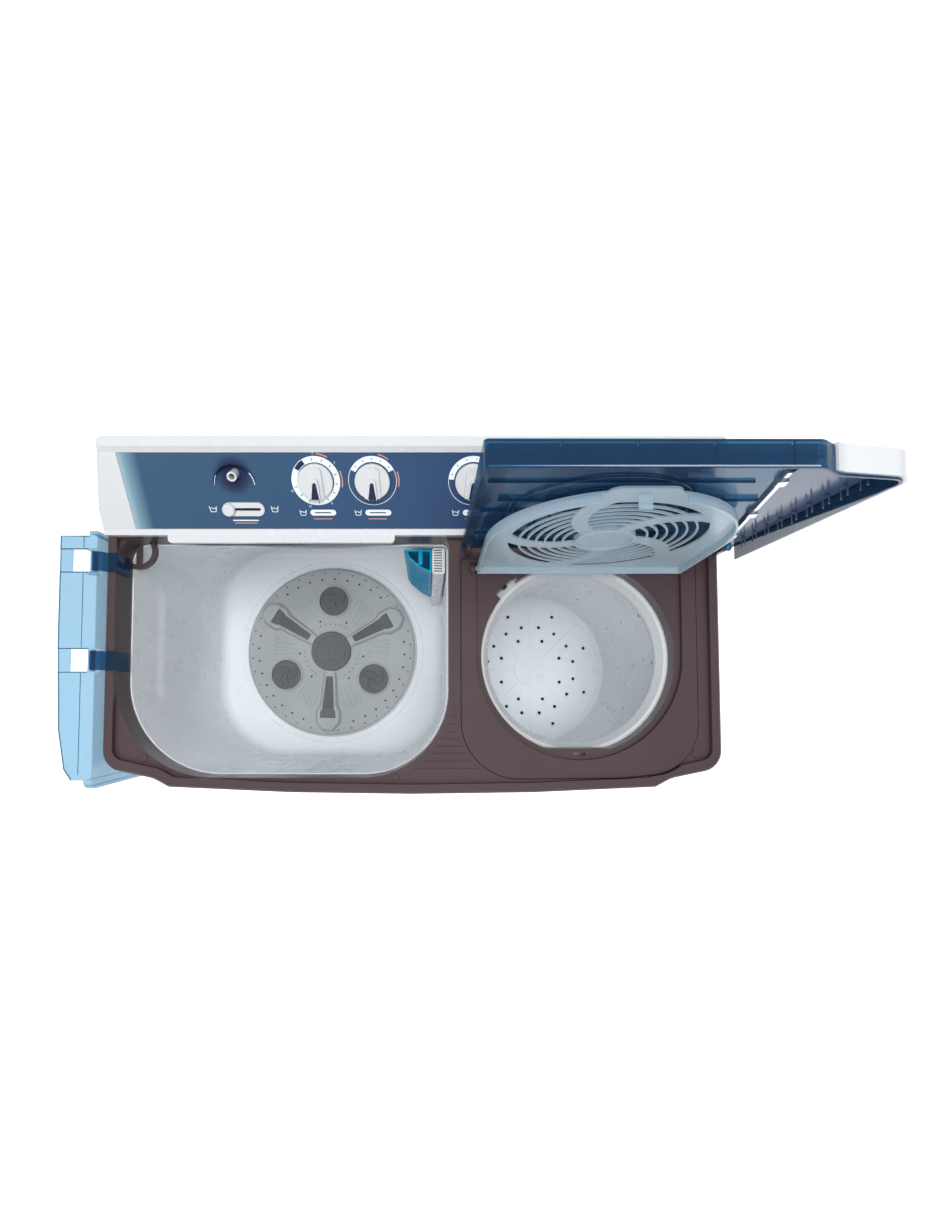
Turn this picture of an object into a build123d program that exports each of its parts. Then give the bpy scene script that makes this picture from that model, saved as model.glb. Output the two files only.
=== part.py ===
from build123d import *
import math
import os

os.makedirs("parts", exist_ok=True)

# Twin tub washing machine. Millimetres, X to the right, Y to the back, +Z up.
# The origin is on the floor under the middle of the cabinet; the front is -Y.
# Joints at rest: both outer lids and the inner lid are open, knobs at zero.

# ---- main sizes -------------------------------------------------------------
DECK_TOP = 925.0          # top of the rim round the deck
HALF_W = 438.0            # half width of the deck
FRONT_Y = -241.0          # middle of the bowed front
BACK_Y = 242.0
STEP = 9.0                # the deck's floor is this far below its rim
FLOOR_Z = DECK_TOP - STEP
SKIRT_Z = 885.0           # lower edge of the deck's skirt
WALL_FOOT_Z = 875.0       # lower edge of the wall round the wash opening
RIM_W = 12.0
WALL = 3.0

# wash tub
WASH_X = -175.6
WASH_Y = -8.8
TUB_FLOOR = 525.0
OPEN_L = -425.0
OPEN_R = 52.5
OPEN_F = -219.0
OPEN_B = 128.0

# spin side
SPIN_X = 239.5
SPIN_Y = -46.0
MOUTH_R = 126.0
WELL_R = 140.0            # hole in the spin deck insert
SEAT_R = 148.3            # recess that takes the inner lid
BASKET_R = 158.0
BASKET_FLOOR = 508.0
SEAM_L = 70.5
SEAM_R = 408.3
SEAM_F = -221.0
SEAM_B = 95.0

# lids
WASH_AXIS = (-449.0, DECK_TOP + 9.0)       # x, z
SPIN_AXIS = (105.0, DECK_TOP + 23.0)       # y, z
INNER_AXIS = (81.0, DECK_TOP - 6.0)        # y, z
INNER_LEAN = 3.5                           # degrees past upright
PIN_R = 3.0
PIN_GAP = 0.06

# console
PANEL_Y = 133.4
PANEL_Z = DECK_TOP + 10.0
PANEL_TILT = 35.5
PANEL_LEN = 106.7
PANEL_HALF = 392.0
CROWN = 78.0
KNOB_V = 68.0
KNOB_X = {"wash_timer": -130.0, "wash_selector": -53.0,
          "drain_selector": 83.0, "spin_timer": 160.0}
SHAFT_R = 4.0


# ---- helpers ----------------------------------------------------------------
def box(x0, x1, y0, y1, z0, z1):
    size = (x1 - x0, y1 - y0, z1 - z0)
    return Pos((x0 + x1) / 2, (y0 + y1) / 2, (z0 + z1) / 2) * Box(*size)


def rod(x, y, r, z0, z1):
    return Pos(x, y, (z0 + z1) / 2) * Cylinder(r, z1 - z0)


def rod_x(y, z, r, x0, x1):
    return Pos((x0 + x1) / 2, y, z) * Rot(0, 90, 0) * Cylinder(r, x1 - x0)


def rod_y(x, z, r, y0, y1):
    return Pos(x, (y0 + y1) / 2, z) * Rot(90, 0, 0) * Cylinder(r, y1 - y0)


def tube(x, y, r_out, r_in, z0, z1):
    return rod(x, y, r_out, z0, z1) - rod(x, y, r_in, z0 - 1, z1 + 1)


def plate(face, z0, z1):
    """A flat face at z = 0, raised to z0 and extruded up to z1."""
    return extrude(Pos(0, 0, z0) * face, z1 - z0)


def round_poly(points, radii):
    """Closed polygon with its own corner radius at each point."""
    edges = []
    count = len(points)
    starts = []
    ends = []
    mids = []
    for i in range(count):
        p = Vector(*points[i], 0)
        a = Vector(*points[i - 1], 0)
        b = Vector(*points[(i + 1) % count], 0)
        r = radii[i]
        ua = (a - p).normalized()
        ub = (b - p).normalized()
        half = math.radians(ua.get_angle(ub)) / 2
        if r <= 0 or (ua + ub).length < 1e-6:
            starts.append(p)
            ends.append(p)
            mids.append(None)
            continue
        cut = r / math.tan(half)
        centre = p + (ua + ub).normalized() * (r / math.sin(half))
        starts.append(p + ua * cut)
        ends.append(p + ub * cut)
        mids.append(centre + (p - centre).normalized() * r)
    for i in range(count):
        if mids[i] is not None:
            edges.append(ThreePointArc(starts[i], mids[i], ends[i]))
        nxt = starts[(i + 1) % count]
        if (nxt - ends[i]).length > 1e-6:
            edges.append(Line(ends[i], nxt))
    return make_face(Wire(edges))


def revolve_rz(points, x, y):
    """Closed profile of (radius, z) points turned about a vertical axis."""
    pts = [(r, 0, z) for r, z in points]
    face = make_face(Polyline(*pts, close=True))
    return Pos(x, y, 0) * revolve(face, Axis.Z)


def solid_yz(points, x0, x1):
    """Closed (y, z) polygon extruded along X."""
    face = make_face(Polyline(*[(0, y, z) for y, z in points], close=True))
    return Pos(x0, 0, 0) * extrude(face, x1 - x0, dir=(1, 0, 0))


def solid_xz(points, y0, y1):
    """Closed (x, z) polygon extruded along Y."""
    face = make_face(Polyline(*[(x, 0, z) for x, z in points], close=True))
    return Pos(0, y0, 0) * extrude(face, y1 - y0, dir=(0, 1, 0))


def as_one(parts):
    out = parts[0]
    for p in parts[1:]:
        out = out + p
    return out


def save(shape, node):
    export_step(shape, "parts/" + node + ".step")
    print(node, len(shape.solids()))


def together(parts):
    """Several separate solids kept in one node."""
    return Compound(children=[s for p in parts for s in p.solids()])


# ---- outlines ---------------------------------------------------------------
def body_face(d, back=BACK_Y):
    """The machine's plan outline, drawn in by d."""
    pts = [(HALF_W - d, back), (HALF_W - d, -204 + d), (366 - 0.6 * d, -219 + d),
           (344 - 0.6 * d, -231 + d), (172, -238.6 + d), (0, FRONT_Y + d),
           (-172, -238.6 + d), (-344 + 0.6 * d, -231 + d),
           (-366 + 0.6 * d, -219 + d), (-HALF_W + d, -204 + d), (-HALF_W + d, back)]
    r = max(30 - d, 6)
    return round_poly(pts, [8, r, 40, 10, 600, 600, 600, 10, 40, r, 8])


def wash_face(d, z=0):
    """The wash opening's outline, drawn in by d."""
    pts = [(OPEN_L + d, OPEN_B - d), (OPEN_L + d, OPEN_F + d),
           (OPEN_R - d, OPEN_F + d), (OPEN_R - d, OPEN_B - d)]
    return round_poly(pts, [28 - d, 140 - d, 125 - d, 12 - min(d, 9)])


def floor_face(d):
    """The wash tub's outline at its floor, drawn in by d."""
    pts = [(-402 + d, 208 - d), (-402 + d, -222 + d), (51 - d, -222 + d), (51 - d, 208 - d)]
    return round_poly(pts, [110 - d, 140 - d, 125 - d, 60 - d])


def seam_face(d):
    """The spin deck insert's outline, drawn in by d."""
    pts = [(SEAM_L + d, SEAM_B - d), (SEAM_L + d, SEAM_F + d), (300, SEAM_F + d + 2),
           (SEAM_R - d, SEAM_F + d + 14), (SEAM_R - d, SEAM_B - d)]
    return round_poly(pts, [6, 82 - d, 300, 72 - d, 6])


def seat_face(r):
    """The inner lid's outline: a half circle in front and a straight back."""
    pts = [(SPIN_X - r, INNER_AXIS[0] + 9), (SPIN_X - r, SPIN_Y - r),
           (SPIN_X + r, SPIN_Y - r), (SPIN_X + r, INNER_AXIS[0] + 9)]
    return round_poly(pts, [2, r - 0.02, r - 0.02, 2])


# ---- cabinet ----------------------------------------------------------------
def base_tray():
    z0, z1 = 22.0, 84.0
    outer = plate(body_face(1.5, 235), z0, z1)
    outer = chamfer(outer.edges().group_by(Axis.Z)[-1], 1.2)
    tray = outer - plate(body_face(9, 227), z0 + 5, z1 + 1)
    # ledge that carries the shell
    tray = tray - plate(body_face(4.2, 232.3), 76, z1 + 1)
    # louvred opening under the wash drive
    tray = tray - box(-330, -60, -120, 120, z0 - 1, z0 + 6)
    for k in range(7):
        y = -105 + 35 * k
        tray = tray + box(-331, -59, y - 3, y + 3, z0, z0 + 5)
    return tray


def feet():
    out = []
    for x in (-375, 375):
        for y in (-165, 195):
            foot = rod(x, y, 24, 0, 14) + rod(x, y, 12, 14, 22)
            foot = foot + rod(x, y, 18, 14, 18)
            out.append(foot)
    return together(out)


def cabinet_shell():
    z0, z1 = 76.0, 912.0
    shell = plate(body_face(4.5, 232), z0, z1 - 0.4)
    shell = shell - plate(body_face(6.8, 229), z0 - 1, z1 + 1)
    # service opening in the back, with a rim for the cover's screws
    shell = shell - box(-330, 330, 225, 240, 110, 640)
    # shallow raised fields on the front and the sides
    field = plate(body_face(2.6, 150), 150, 800) - plate(body_face(5.0, 300), 140, 810)
    front = field & box(-330, 330, -260, -205, 150, 800)
    side = field & (box(-460, -400, -150, 140, 150, 800) + box(400, 460, -150, 140, 150, 800))
    shell = shell + front + side
    # hand grips in both sides
    for s in (-1, 1):
        cup = box(*sorted((s * 432.5, s * 418.8)), -74, 64, 686, 744)
        shell = shell + cup - box(*sorted((s * 440, s * 420.8)), -71, 61, 689, 741)
    return shell


def back_cover():
    z0, z1 = 98.0, 652.0
    cover = box(-344, 344, 232, 234, z0, z1)
    for k in range(9):
        z = 520 + 11 * k
        for x in (-210, 0, 210):
            cover = cover - box(x - 60, x + 60, 231, 235, z, z + 4)
    cover = cover + box(-300, 300, 234, 236, 165, 480) - box(-294, 294, 234, 237, 171, 474)
    cover = cover - rod_y(230, 130, 16.4, 230, 240) - rod_y(-290, 130, 8, 230, 240)
    return cover


def back_cover_screws():
    out = []
    for x in (-337, -112, 112, 337):
        for z in (104.5, 645.5):
            out.append(rod_y(x, z, 4.5, 234, 237.4))
    for z in (285, 465):
        for x in (-337, 337):
            out.append(rod_y(x, z, 4.5, 234, 237.4))
    return together(out)


def deck_frame():
    top = plate(body_face(0), SKIRT_Z, DECK_TOP)
    top = chamfer(top.edges().group_by(Axis.Z)[-1], 2.5)
    # hollow under the deck, but not under the walls of the openings
    under = plate(body_face(4, 238), SKIRT_Z - 1, 912)
    under = under - plate(wash_face(-4), SKIRT_Z - 2, 913)
    top = top - under
    # floor inside the rim
    step = plate(body_face(RIM_W + 1.5, 400), FLOOR_Z, DECK_TOP + 5)
    step = step & box(-500, 500, -300, 124, FLOOR_Z, DECK_TOP + 5)
    top = top - step
    # wall of the wash opening
    wall = plate(wash_face(-4), WALL_FOOT_Z, 914)
    top = top + wall
    top = top - plate(wash_face(0), WALL_FOOT_Z - 1, DECK_TOP + 5)
    # opening for the spin deck insert
    top = top - plate(seam_face(-1.2), 900, DECK_TOP + 5)
    # the machine's rear top, under the console, is open for the wiring and the levers
    top = top - box(-390, 390, 150, 226, 905, 930)
    # scrubbing ridges between the two tubs
    for k in range(9):
        y = -122 - 10.4 * k
        ridge = box(-40, 130, y - 1.1, y + 1.1, FLOOR_Z - 1.6, FLOOR_Z + 1)
        land = plate(wash_face(-9), 900, 930) + plate(seam_face(-7), 900, 930)
        top = top - (ridge - land)
    # ears for the spin lid's hinge
    y, z = SPIN_AXIS
    for x0, x1, foot in ((76, 82, FLOOR_Z - 2), (430, 436, DECK_TOP - 3)):
        ear = rod_x(y, z, 7, x0, x1) + box(x0, x1, y - 7, y + 7, foot, z)
        top = top + ear
        top = top - rod_x(y, z, PIN_R + PIN_GAP, x0 - 1, x1 + 1)
    return top


def deck_screw_caps():
    out = []
    for x, y, r in ((-383.7, -190.6, 6.0), (-23.2, -218.4, 5.0), (404.0, -186.0, 5.0)):
        cap = rod(x, y, r, FLOOR_Z, FLOOR_Z + 1.6)
        out.append(chamfer(cap.edges().group_by(Axis.Z)[-1], 0.6))
    return together(out)


def hose_ring():
    x, y, z = -413.0, 115.0, 879.0
    ring = rod(x, y, 27, z - 3.5, z + 3.5) - rod(x, y, 20, z - 5, z + 5)
    ring = ring + box(x - 3.5, x + 3.5, y - 24, y + 30, z - 3.5, z + 3.5)
    inside = plate(wash_face(0), z - 9, z + 9)
    return ring & inside


def spin_deck_insert():
    top = FLOOR_Z + 1.0
    body = plate(seam_face(0), 907, top)
    body = body + plate(seam_face(-6), 905, 907) - plate(seam_face(12), 900, 908.5)
    body = body + (plate(seat_face(SEAT_R + 6), 903, 909) & plate(seam_face(-6), 880, top))
    body = body & plate(body_face(9, 300), 800, 1000)
    x, y = SPIN_X, SPIN_Y
    cut = box(x - 200, x + 200, -178, 80, 800, 1000)
    outer_cut = box(x - 200, x + 200, -181.5, 83.5, 800, 1000)
    body = body + (rod(x, y, WELL_R + 3, 887, 907) & outer_cut)
    body = body - plate(seat_face(SEAT_R), 910, top + 5)
    body = body - (rod(x, y, WELL_R, 860, 1000) & cut)
    # slot that takes the inner lid's catch, in the flat at the front
    body = body - box(x - 9, x + 9, -188, -184, 900, 1000)
    # slot for the interlock finger, on the circle's left back
    slot = Pos(x, y, 0) * Rot(0, 0, 135) * box(139, 149, -19, 19, 880, 1000)
    body = body - slot
    # pivots of the inner lid
    ya, za = INNER_AXIS
    for s in (-1, 1):
        a, b = sorted((x + s * 149.5, x + s * 156))
        boss = rod_x(ya, za, 7, a, b) + box(a, b, ya - 7, ya + 7, 906, za)
        body = body + boss
        body = body - rod_x(ya, za, PIN_R + PIN_GAP, a - 2, b + 2)
    return body


# ---- tubs -------------------------------------------------------------------
def wash_tub():
    top_z = WALL_FOOT_Z
    outer = loft([Pos(0, 0, TUB_FLOOR - 4) * floor_face(-3), Pos(0, 0, top_z) * wash_face(-1)],
                 ruled=True)
    inner = loft([Pos(0, 0, TUB_FLOOR) * floor_face(0), Pos(0, 0, top_z + 0.01) * wash_face(2)],
                 ruled=True)
    flange = plate(wash_face(-9), top_z - 3, top_z) & plate(body_face(7.4, 300), 800, 900)
    tub = outer + flange - inner
    tub = tub - plate(wash_face(2), top_z - 4, top_z + 2)
    # seat round the pulsator, with a fine groove at its edge
    tub = tub + tube(WASH_X, WASH_Y, 189, 176, TUB_FLOOR - 1, TUB_FLOOR + 2.5)
    # ribs down the left wall
    for y in (-150, -90, -30, 30, 80):
        lo = (-402.0, TUB_FLOOR + 20)
        hi = (-423.0, top_z - 25)
        rib = solid_xz([(lo[0] - 3, lo[1]), (lo[0] + 2.5, lo[1]), (hi[0] + 2.2, hi[1]),
                        (hi[0] - 3, hi[1])], y - 2, y + 2)
        tub = tub + (rib & outer)
    # bore for the gearbox neck and the drain
    tub = tub - rod(WASH_X, WASH_Y, 20, TUB_FLOOR - 20, TUB_FLOOR + 20)
    tub = tub - rod(10, 150, 16, TUB_FLOOR - 20, TUB_FLOOR + 20)
    return tub


def filter_housing():
    """White slotted column in the tub's rear right corner."""
    col = box(29, 48.5, 84, 124, 560, 866)
    col = fillet(col.edges().filter_by(Axis.Z), 4)
    for k in range(9):
        y = 88 + 4 * k
        col = col - box(31.5, 44, y, y + 1.8, 780, 870)
    for k in range(12):
        z = 590 + 14 * k
        col = col - box(26, 33, 90, 118, z, z + 5)
    return col


def lint_filter():
    """Blue cassette that lifts out, beside the slotted column."""
    pts = [(28.4, 123.5), (-16, 123.5), (-9, 112), (10, 95), (28.4, 86)]
    face = round_poly(pts, [2, 1.5, 12, 30, 2])
    body = plate(face, 640, 858)
    inner = round_poly([(25.5, 121), (-9, 121), (-5, 112), (11, 98), (25.5, 91)],
                       [1, 1, 8, 20, 1])
    body = body - plate(inner, 644, 860)
    for k in range(9):
        z = 660 + 20 * k
        body = body - box(-20, 24, 84, 113, z, z + 9)
    bar = box(8, 14, 100, 122, 846, 858)
    return body + bar


def spin_outer_tub():
    x, y = SPIN_X, SPIN_Y
    r, t = 168.0, 3.0
    pts = [(30, 486), (r - 20, 486), (r, 506), (r, 886), (r - t, 886), (r - t, 508),
           (r - 21, 490), (30, 490)]
    return revolve_rz(pts, x, y)


def spin_basket():
    x, y = SPIN_X, SPIN_Y
    r, t = BASKET_R, 2.5
    z = BASKET_FLOOR
    pts = [(0, z - 4), (r - 16, z - 4), (r - 4, z + 2), (r, z + 14), (r, 852), (r - 6, 864),
           (138, 868), (138, 865), (r - 8, 861), (r - t, 850), (r - t, z + 15),
           (r - 6, z + 5), (r - 17, z), (0, z)]
    body = revolve_rz(pts, x, y)
    # boss in the middle and the hub under it
    body = body + rod(x, y, 34, z - 1, z + 5) + rod(x, y, 24, z - 12, z - 3)
    body = body - rod(x, y, 8, z - 13, z - 2)
    # drain holes in the floor and the wall
    for k in range(8):
        a = math.radians(22.5 + 45 * k)
        for rr, da in ((66, 0), (92, -11), (92, 11), (122, 0)):
            b = a + math.radians(da)
            body = body - rod(x + rr * math.cos(b), y + rr * math.sin(b), 3.4, z - 6, z + 3)
    for k in range(12):
        for level in (600, 690, 780):
            hole = Pos(x, y, level) * Rot(0, 0, 30 * k) * Pos(r, 0, 0) * Rot(0, 90, 0)
            body = body - hole * Cylinder(3.2, 30)
    return body


def balance_ring():
    x, y = SPIN_X, SPIN_Y
    pts = [(138, 868), (152, 868), (152, 876), (148, 882), (138.6, 884.5), (134, 884),
           (126.5, 870), (126, 862), (130, 859), (138, 861)]
    return revolve_rz(pts, x, y)


# ---- pulsator and its drive -------------------------------------------------
def paddle_face(g, z):
    pts = [(38, 11 + g), (38, -11 - g), (112, -17 - g), (122, -24 - g), (146, -24 - g),
           (163 + g, -11), (163 + g, 11), (146, 24 + g), (122, 24 + g), (112, 17 + g)]
    return Pos(0, 0, z) * round_poly(pts, [3, 3, 8, 10, 10, 9, 9, 10, 10, 8])


def paddle(angle):
    """Teardrop ridge with sloping sides."""
    body = loft([paddle_face(3.5, 537), paddle_face(-1.5, 550)], ruled=True)
    body = body + loft([paddle_face(-1.5, 550), paddle_face(-4.0, 552)], ruled=True)
    return Pos(WASH_X, WASH_Y, 0) * Rot(0, 0, angle) * body


def slot_face(g=0.0):
    pts = [(52 - g, 6.7 + g), (52 - g, -6.7 - g), (121, -12.2 - g), (122, -14.6 - g),
           (137 + g, -16.2 - g), (137 + g, 16.2 + g), (122, 14.6 + g), (121, 12.2 + g)]
    return round_poly(pts, [0] * 8)


def pulsator():
    x, y = WASH_X, WASH_Y
    r = 172.5
    pts = [(0, 532), (r - 3, 532), (r, 534), (r, 538), (r - 4, 541), (148, 539.5),
           (60, 541), (44, 545), (0, 545)]
    body = revolve_rz(pts, x, y)
    body = body - rod(x, y, 30, 531, 535)
    for a in (28.0, 147.6, 267.6):
        body = body + paddle(a)
        well = Pos(x, y, 0) * Rot(0, 0, a) * plate(slot_face(), 546, 560)
        body = body - well
    for a in (87.4, 207.6, 327.0):
        cx = x + 104 * math.cos(math.radians(a))
        cy = y + 104 * math.sin(math.radians(a))
        body = body + rod(cx, cy, 33.5, 536, 544)
        body = body - rod(cx, cy, 30, 537, 560)
    for k in range(36):
        a = math.radians(10 * k + 5)
        body = body - rod(x + 163 * math.cos(a), y + 163 * math.sin(a), 1.5, 530, 545)
    body = body - rod(x, y, 40.6, 542, 560)
    body = body + rod(x, y, 16, 520, 536)
    body = body - rod(x, y, 7, 515, 530)
    return body


def pulsator_inserts():
    """Dark slatted grilles in the paddles and swirl discs in the cups."""
    x, y = WASH_X, WASH_Y
    out = []
    for a in (28.0, 147.6, 267.6):
        bar = plate(slot_face(-0.35), 546, 549.5)
        for w in (-4.5, 0, 4.5):
            rib = box(58, 118, w - 0.8, w + 0.8, 549, 551.5)
            bar = bar + rib
        out.append(Pos(x, y, 0) * Rot(0, 0, a) * bar)
    for a in (87.4, 207.6, 327.0):
        cx = x + 104 * math.cos(math.radians(a))
        cy = y + 104 * math.sin(math.radians(a))
        disc = rod(0, 0, 29.6, 537, 540)
        for b in (0, 120, 240):
            arc = tube(0, 13.5, 15, 12, 539, 543) & box(-16, 16, 0, 14, 530, 550)
            arc = arc & box(-0.1, 16, -2, 30, 530, 550)
            disc = disc + Rot(0, 0, b) * arc
        out.append(Pos(cx, cy, 0) * disc)
    return together(out)


def pulsator_cap():
    x, y = WASH_X, WASH_Y
    cap = rod(x, y, 40, 542, 553)
    cap = chamfer(cap.edges().group_by(Axis.Z)[-1], 2)
    cap = cap - tube(x, y, 31, 29, 551.5, 560)
    return cap


def drive_plate():
    p = box(-395, -90, -120, 95, 517, 521)
    p = p - rod(WASH_X, WASH_Y, 34, 510, 530) - box(-60, 60, 120, 200, 510, 530)
    for x, y in ((-372, -112), (-268, -112), (-268, -8), (-372, -8)):
        p = p + rod(x, y, 6, 426, 518)
    return p


def gearbox_housing():
    x, y = WASH_X, WASH_Y
    body = rod(x, y, 46, 425, 500) + rod(x, y, 60, 500, 517)
    body = body + rod(x, y, 19.5, 517, 526) + rod(x, y, 33, 517, 521)
    for k in range(6):
        a = math.radians(60 * k)
        body = body + rod(x + 52 * math.cos(a), y + 52 * math.sin(a), 5, 494, 501)
    body = body - rod(x, y, 16.4, 512, 540) - rod(x, y, 9.4, 420, 515)
    return body


def gearbox_pulley():
    x, y = WASH_X, WASH_Y
    wheel = rod(x, y, 76, 386, 406)
    wheel = wheel - tube(x, y, 80, 71, 389, 403)
    wheel = wheel - tube(x, y, 62, 26, 380, 391) - tube(x, y, 62, 26, 399, 420)
    wheel = wheel + rod(x, y, 9, 380, 518) + rod(x, y, 6.6, 515, 529)
    for k in range(6):
        a = math.radians(60 * k)
        wheel = wheel - rod(x + 44 * math.cos(a), y + 44 * math.sin(a), 9, 380, 420)
    return wheel


MOTOR_X = -320.0
MOTOR_Y = -60.0


def wash_motor():
    x, y = MOTOR_X, MOTOR_Y
    body = rod(x, y, 56, 250, 350) + rod(x, y, 47, 350, 362) + rod(x, y, 47, 238, 250)
    for k in range(16):
        a = math.radians(22.5 * k)
        fin = Rot(0, 0, 22.5 * k) * box(54, 59, -2, 2, 262, 338)
        body = body + Pos(x, y, 0) * fin
    for px, py in ((-372, -112), (-268, -112), (-268, -8), (-372, -8)):
        body = body + rod(px, py, 9, 340, 350) + rod(px, py, 6, 350, 426)
        vec = Vector(x - px, y - py, 0)
        mid = (px + (x - px) * 0.3, py + (y - py) * 0.3)
        ang = math.degrees(math.atan2(vec.Y, vec.X))
        body = body + Pos(mid[0], mid[1], 345) * Rot(0, 0, ang) * Box(50, 12, 10)
    body = body - rod(x, y, 7.5, 330, 365)
    return body


def motor_pulley():
    x, y = MOTOR_X, MOTOR_Y
    body = rod(x, y, 22, 386, 406) - tube(x, y, 30, 17, 389, 403)
    body = body + rod(x, y, 7, 335, 410) + rod(x, y, 40, 370, 374)
    for k in range(9):
        blade = Rot(0, 0, 40 * k) * box(14, 38, -1, 1, 373, 382)
        body = body + Pos(x, y, 0) * blade
    return body


def drive_belt():
    ax, ay = WASH_X, WASH_Y
    bx, by = MOTOR_X, MOTOR_Y
    dx, dy = bx - ax, by - ay
    c = math.hypot(dx, dy)
    t = math.atan2(dy, dx)

    def loop(ra, rb, z0, z1):
        k = math.acos((ra - rb) / c)
        p = []
        for x, y, r, s in ((ax, ay, ra, 1), (bx, by, rb, 1), (bx, by, rb, -1), (ax, ay, ra, -1)):
            a = t + s * k
            p.append(Vector(x + r * math.cos(a), y + r * math.sin(a), 0))
        far_a = Vector(ax - ra * math.cos(t), ay - ra * math.sin(t), 0)
        far_b = Vector(bx + rb * math.cos(t), by + rb * math.sin(t), 0)
        wire = Wire([Line(p[0], p[1]), ThreePointArc(p[1], far_b, p[2]), Line(p[2], p[3]),
                     ThreePointArc(p[3], far_a, p[0])])
        return plate(make_face(wire), z0, z1)

    return loop(75.4, 21.4, 390, 402) - loop(71.5, 17.5, 389, 403)


def capacitor():
    x, y = 56.0, 150.0
    body = rod(x, y, 22, 300, 380) + rod(x, y, 18, 380, 386)
    body = body + box(x - 7, x - 3, y - 2, y + 2, 384, 396)
    body = body + box(x + 3, x + 7, y - 2, y + 2, 384, 396)
    clamp = box(x - 2, x + 2, y + 20, 232, 330, 350) + tube(x, y, 25, 22, 330, 350)
    return body + clamp


def spin_motor():
    x, y = SPIN_X, SPIN_Y
    body = rod(x, y, 66, 160, 262) + rod(x, y, 54, 262, 272) + rod(x, y, 54, 150, 160)
    for k in range(18):
        fin = Rot(0, 0, 20 * k) * box(64, 69, -2, 2, 172, 250)
        body = body + Pos(x, y, 0) * fin
    for a in (90, 210, 330):
        arm = Pos(x, y, 0) * Rot(0, 0, a) * box(50, 104, -10, 10, 150, 158)
        body = body + arm
        cx = x + 92 * math.cos(math.radians(a))
        cy = y + 92 * math.sin(math.radians(a))
        body = body + rod(cx, cy, 17, 150, 158)
    body = body - rod(x, y, 8.5, 200, 280)
    # carrier of the brake lever
    body = body + box(x + 60, x + 84, y - 34, y - 22, 254, 262) + rod(x + 76, y - 28, 4, 262, 300)
    return body


def motor_springs():
    x, y = SPIN_X, SPIN_Y
    out = []
    for a in (90, 210, 330):
        cx = x + 92 * math.cos(math.radians(a))
        cy = y + 92 * math.sin(math.radians(a))
        coil = tube(cx, cy, 15, 8, 27, 34)
        for k in range(11):
            coil = coil + tube(cx, cy, 14, 10, 34 + 10 * k, 40 + 10 * k)
            coil = coil + tube(cx, cy, 12.5, 8, 40 + 10 * k, 44 + 10 * k)
        coil = coil + tube(cx, cy, 15, 8, 144, 150)
        out.append(coil)
    return together(out)


def spin_shaft():
    x, y = SPIN_X, SPIN_Y
    return rod(x, y, 8, 210, 506) + rod(x, y, 20, 480, 496)


def brake_drum():
    x, y = SPIN_X, SPIN_Y
    drum = rod(x, y, 48, 278, 304) - tube(x, y, 40, 20, 284, 310)
    return drum - rod(x, y, 8, 270, 310)


def brake_lever():
    x, y = SPIN_X + 76, SPIN_Y - 28
    eye = rod(x, y, 10, 282, 292)
    arm = box(x - 8, x + 8, y - 6, y + 70, 282, 292)
    pad = box(x - 20, x - 8, y + 18, y + 44, 280, 302)
    drum = rod(SPIN_X, SPIN_Y, 48.6, 270, 310)
    body = eye + arm + pad + box(x - 2, x + 22, y + 58, y + 70, 282, 292)
    return body - drum - rod(x, y, 4 + PIN_GAP, 270, 310)


def shaft_bellows():
    x, y = SPIN_X, SPIN_Y
    pts = [(22, 440), (30, 440), (34, 447), (28, 454), (36, 461), (30, 468), (42, 476),
           (46, 486), (31, 486), (26, 474), (22, 466)]
    return revolve_rz(pts, x, y)


def drain_valve_body():
    body = rod(10, 150, 26, 430, 521) - rod(10, 150, 21, 436, 530)
    body = body + (rod_x(150, 452, 17, 30, 70) - rod_x(150, 452, 13, 20, 80))
    body = body - rod_x(150, 452, 13, 12, 60)
    return body


def drain_valve_plunger():
    body = rod(10, 150, 18, 440, 452) + rod(10, 150, 4, 452, 512)
    return body + rod(10, 150, 9, 500, 505)


def pipe(points, r):
    """Round bar through the points, with ball joints at the bends."""
    body = None
    for i in range(len(points) - 1):
        p = Vector(*points[i])
        q = Vector(*points[i + 1])
        run = Plane(origin=(p + q) * 0.5, z_dir=q - p).location * Cylinder(r, (q - p).length)
        body = run if body is None else body + run
        if i > 0:
            body = body + Pos(*points[i]) * Sphere(r)
    return body


def drain_hose():
    inner = [(71, 150, 452), (112, 150, 452), (124, 168, 420), (124, 196, 200),
             (150, 204, 130), (230, 204, 130), (230, 234.2, 130)]
    body = pipe(inner, 15.5) - pipe([(60, 150, 452)] + inner[1:6] + [(230, 240, 130)], 12.5)
    body = body & box(0, 400, 0, 233.9, 0, 600)
    for k in range(12):
        z = 225 + 16 * k
        t = (z - 200) / 220
        y = 196 - 28 * t
        body = body + (rod(124, y, 18, z, z + 5) - rod(124, y, 14, z - 1, z + 6))
    return body


def drain_outlet():
    body = rod_y(230, 130, 16, 234.6, 241.6) + rod_y(230, 130, 22, 234.0, 236.4)
    return body - rod_y(230, 130, 12.5, 230, 250)


def cord_gland():
    body = rod_y(-290, 130, 7.6, 228, 241.6)
    body = body + rod_y(-290, 130, 12, 234.0, 236.4)
    return body - rod_y(-290, 130, 4.5, 220, 250)


# ---- console ----------------------------------------------------------------
S35 = math.sin(math.radians(PANEL_TILT))
C35 = math.cos(math.radians(PANEL_TILT))
PANEL = Plane(origin=(0, PANEL_Y, PANEL_Z), x_dir=(1, 0, 0), z_dir=(0, -S35, C35))


def on_panel(shape):
    """Place a shape drawn in panel coordinates: x right, y up the slope, z outwards."""
    return PANEL.location * shape


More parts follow.
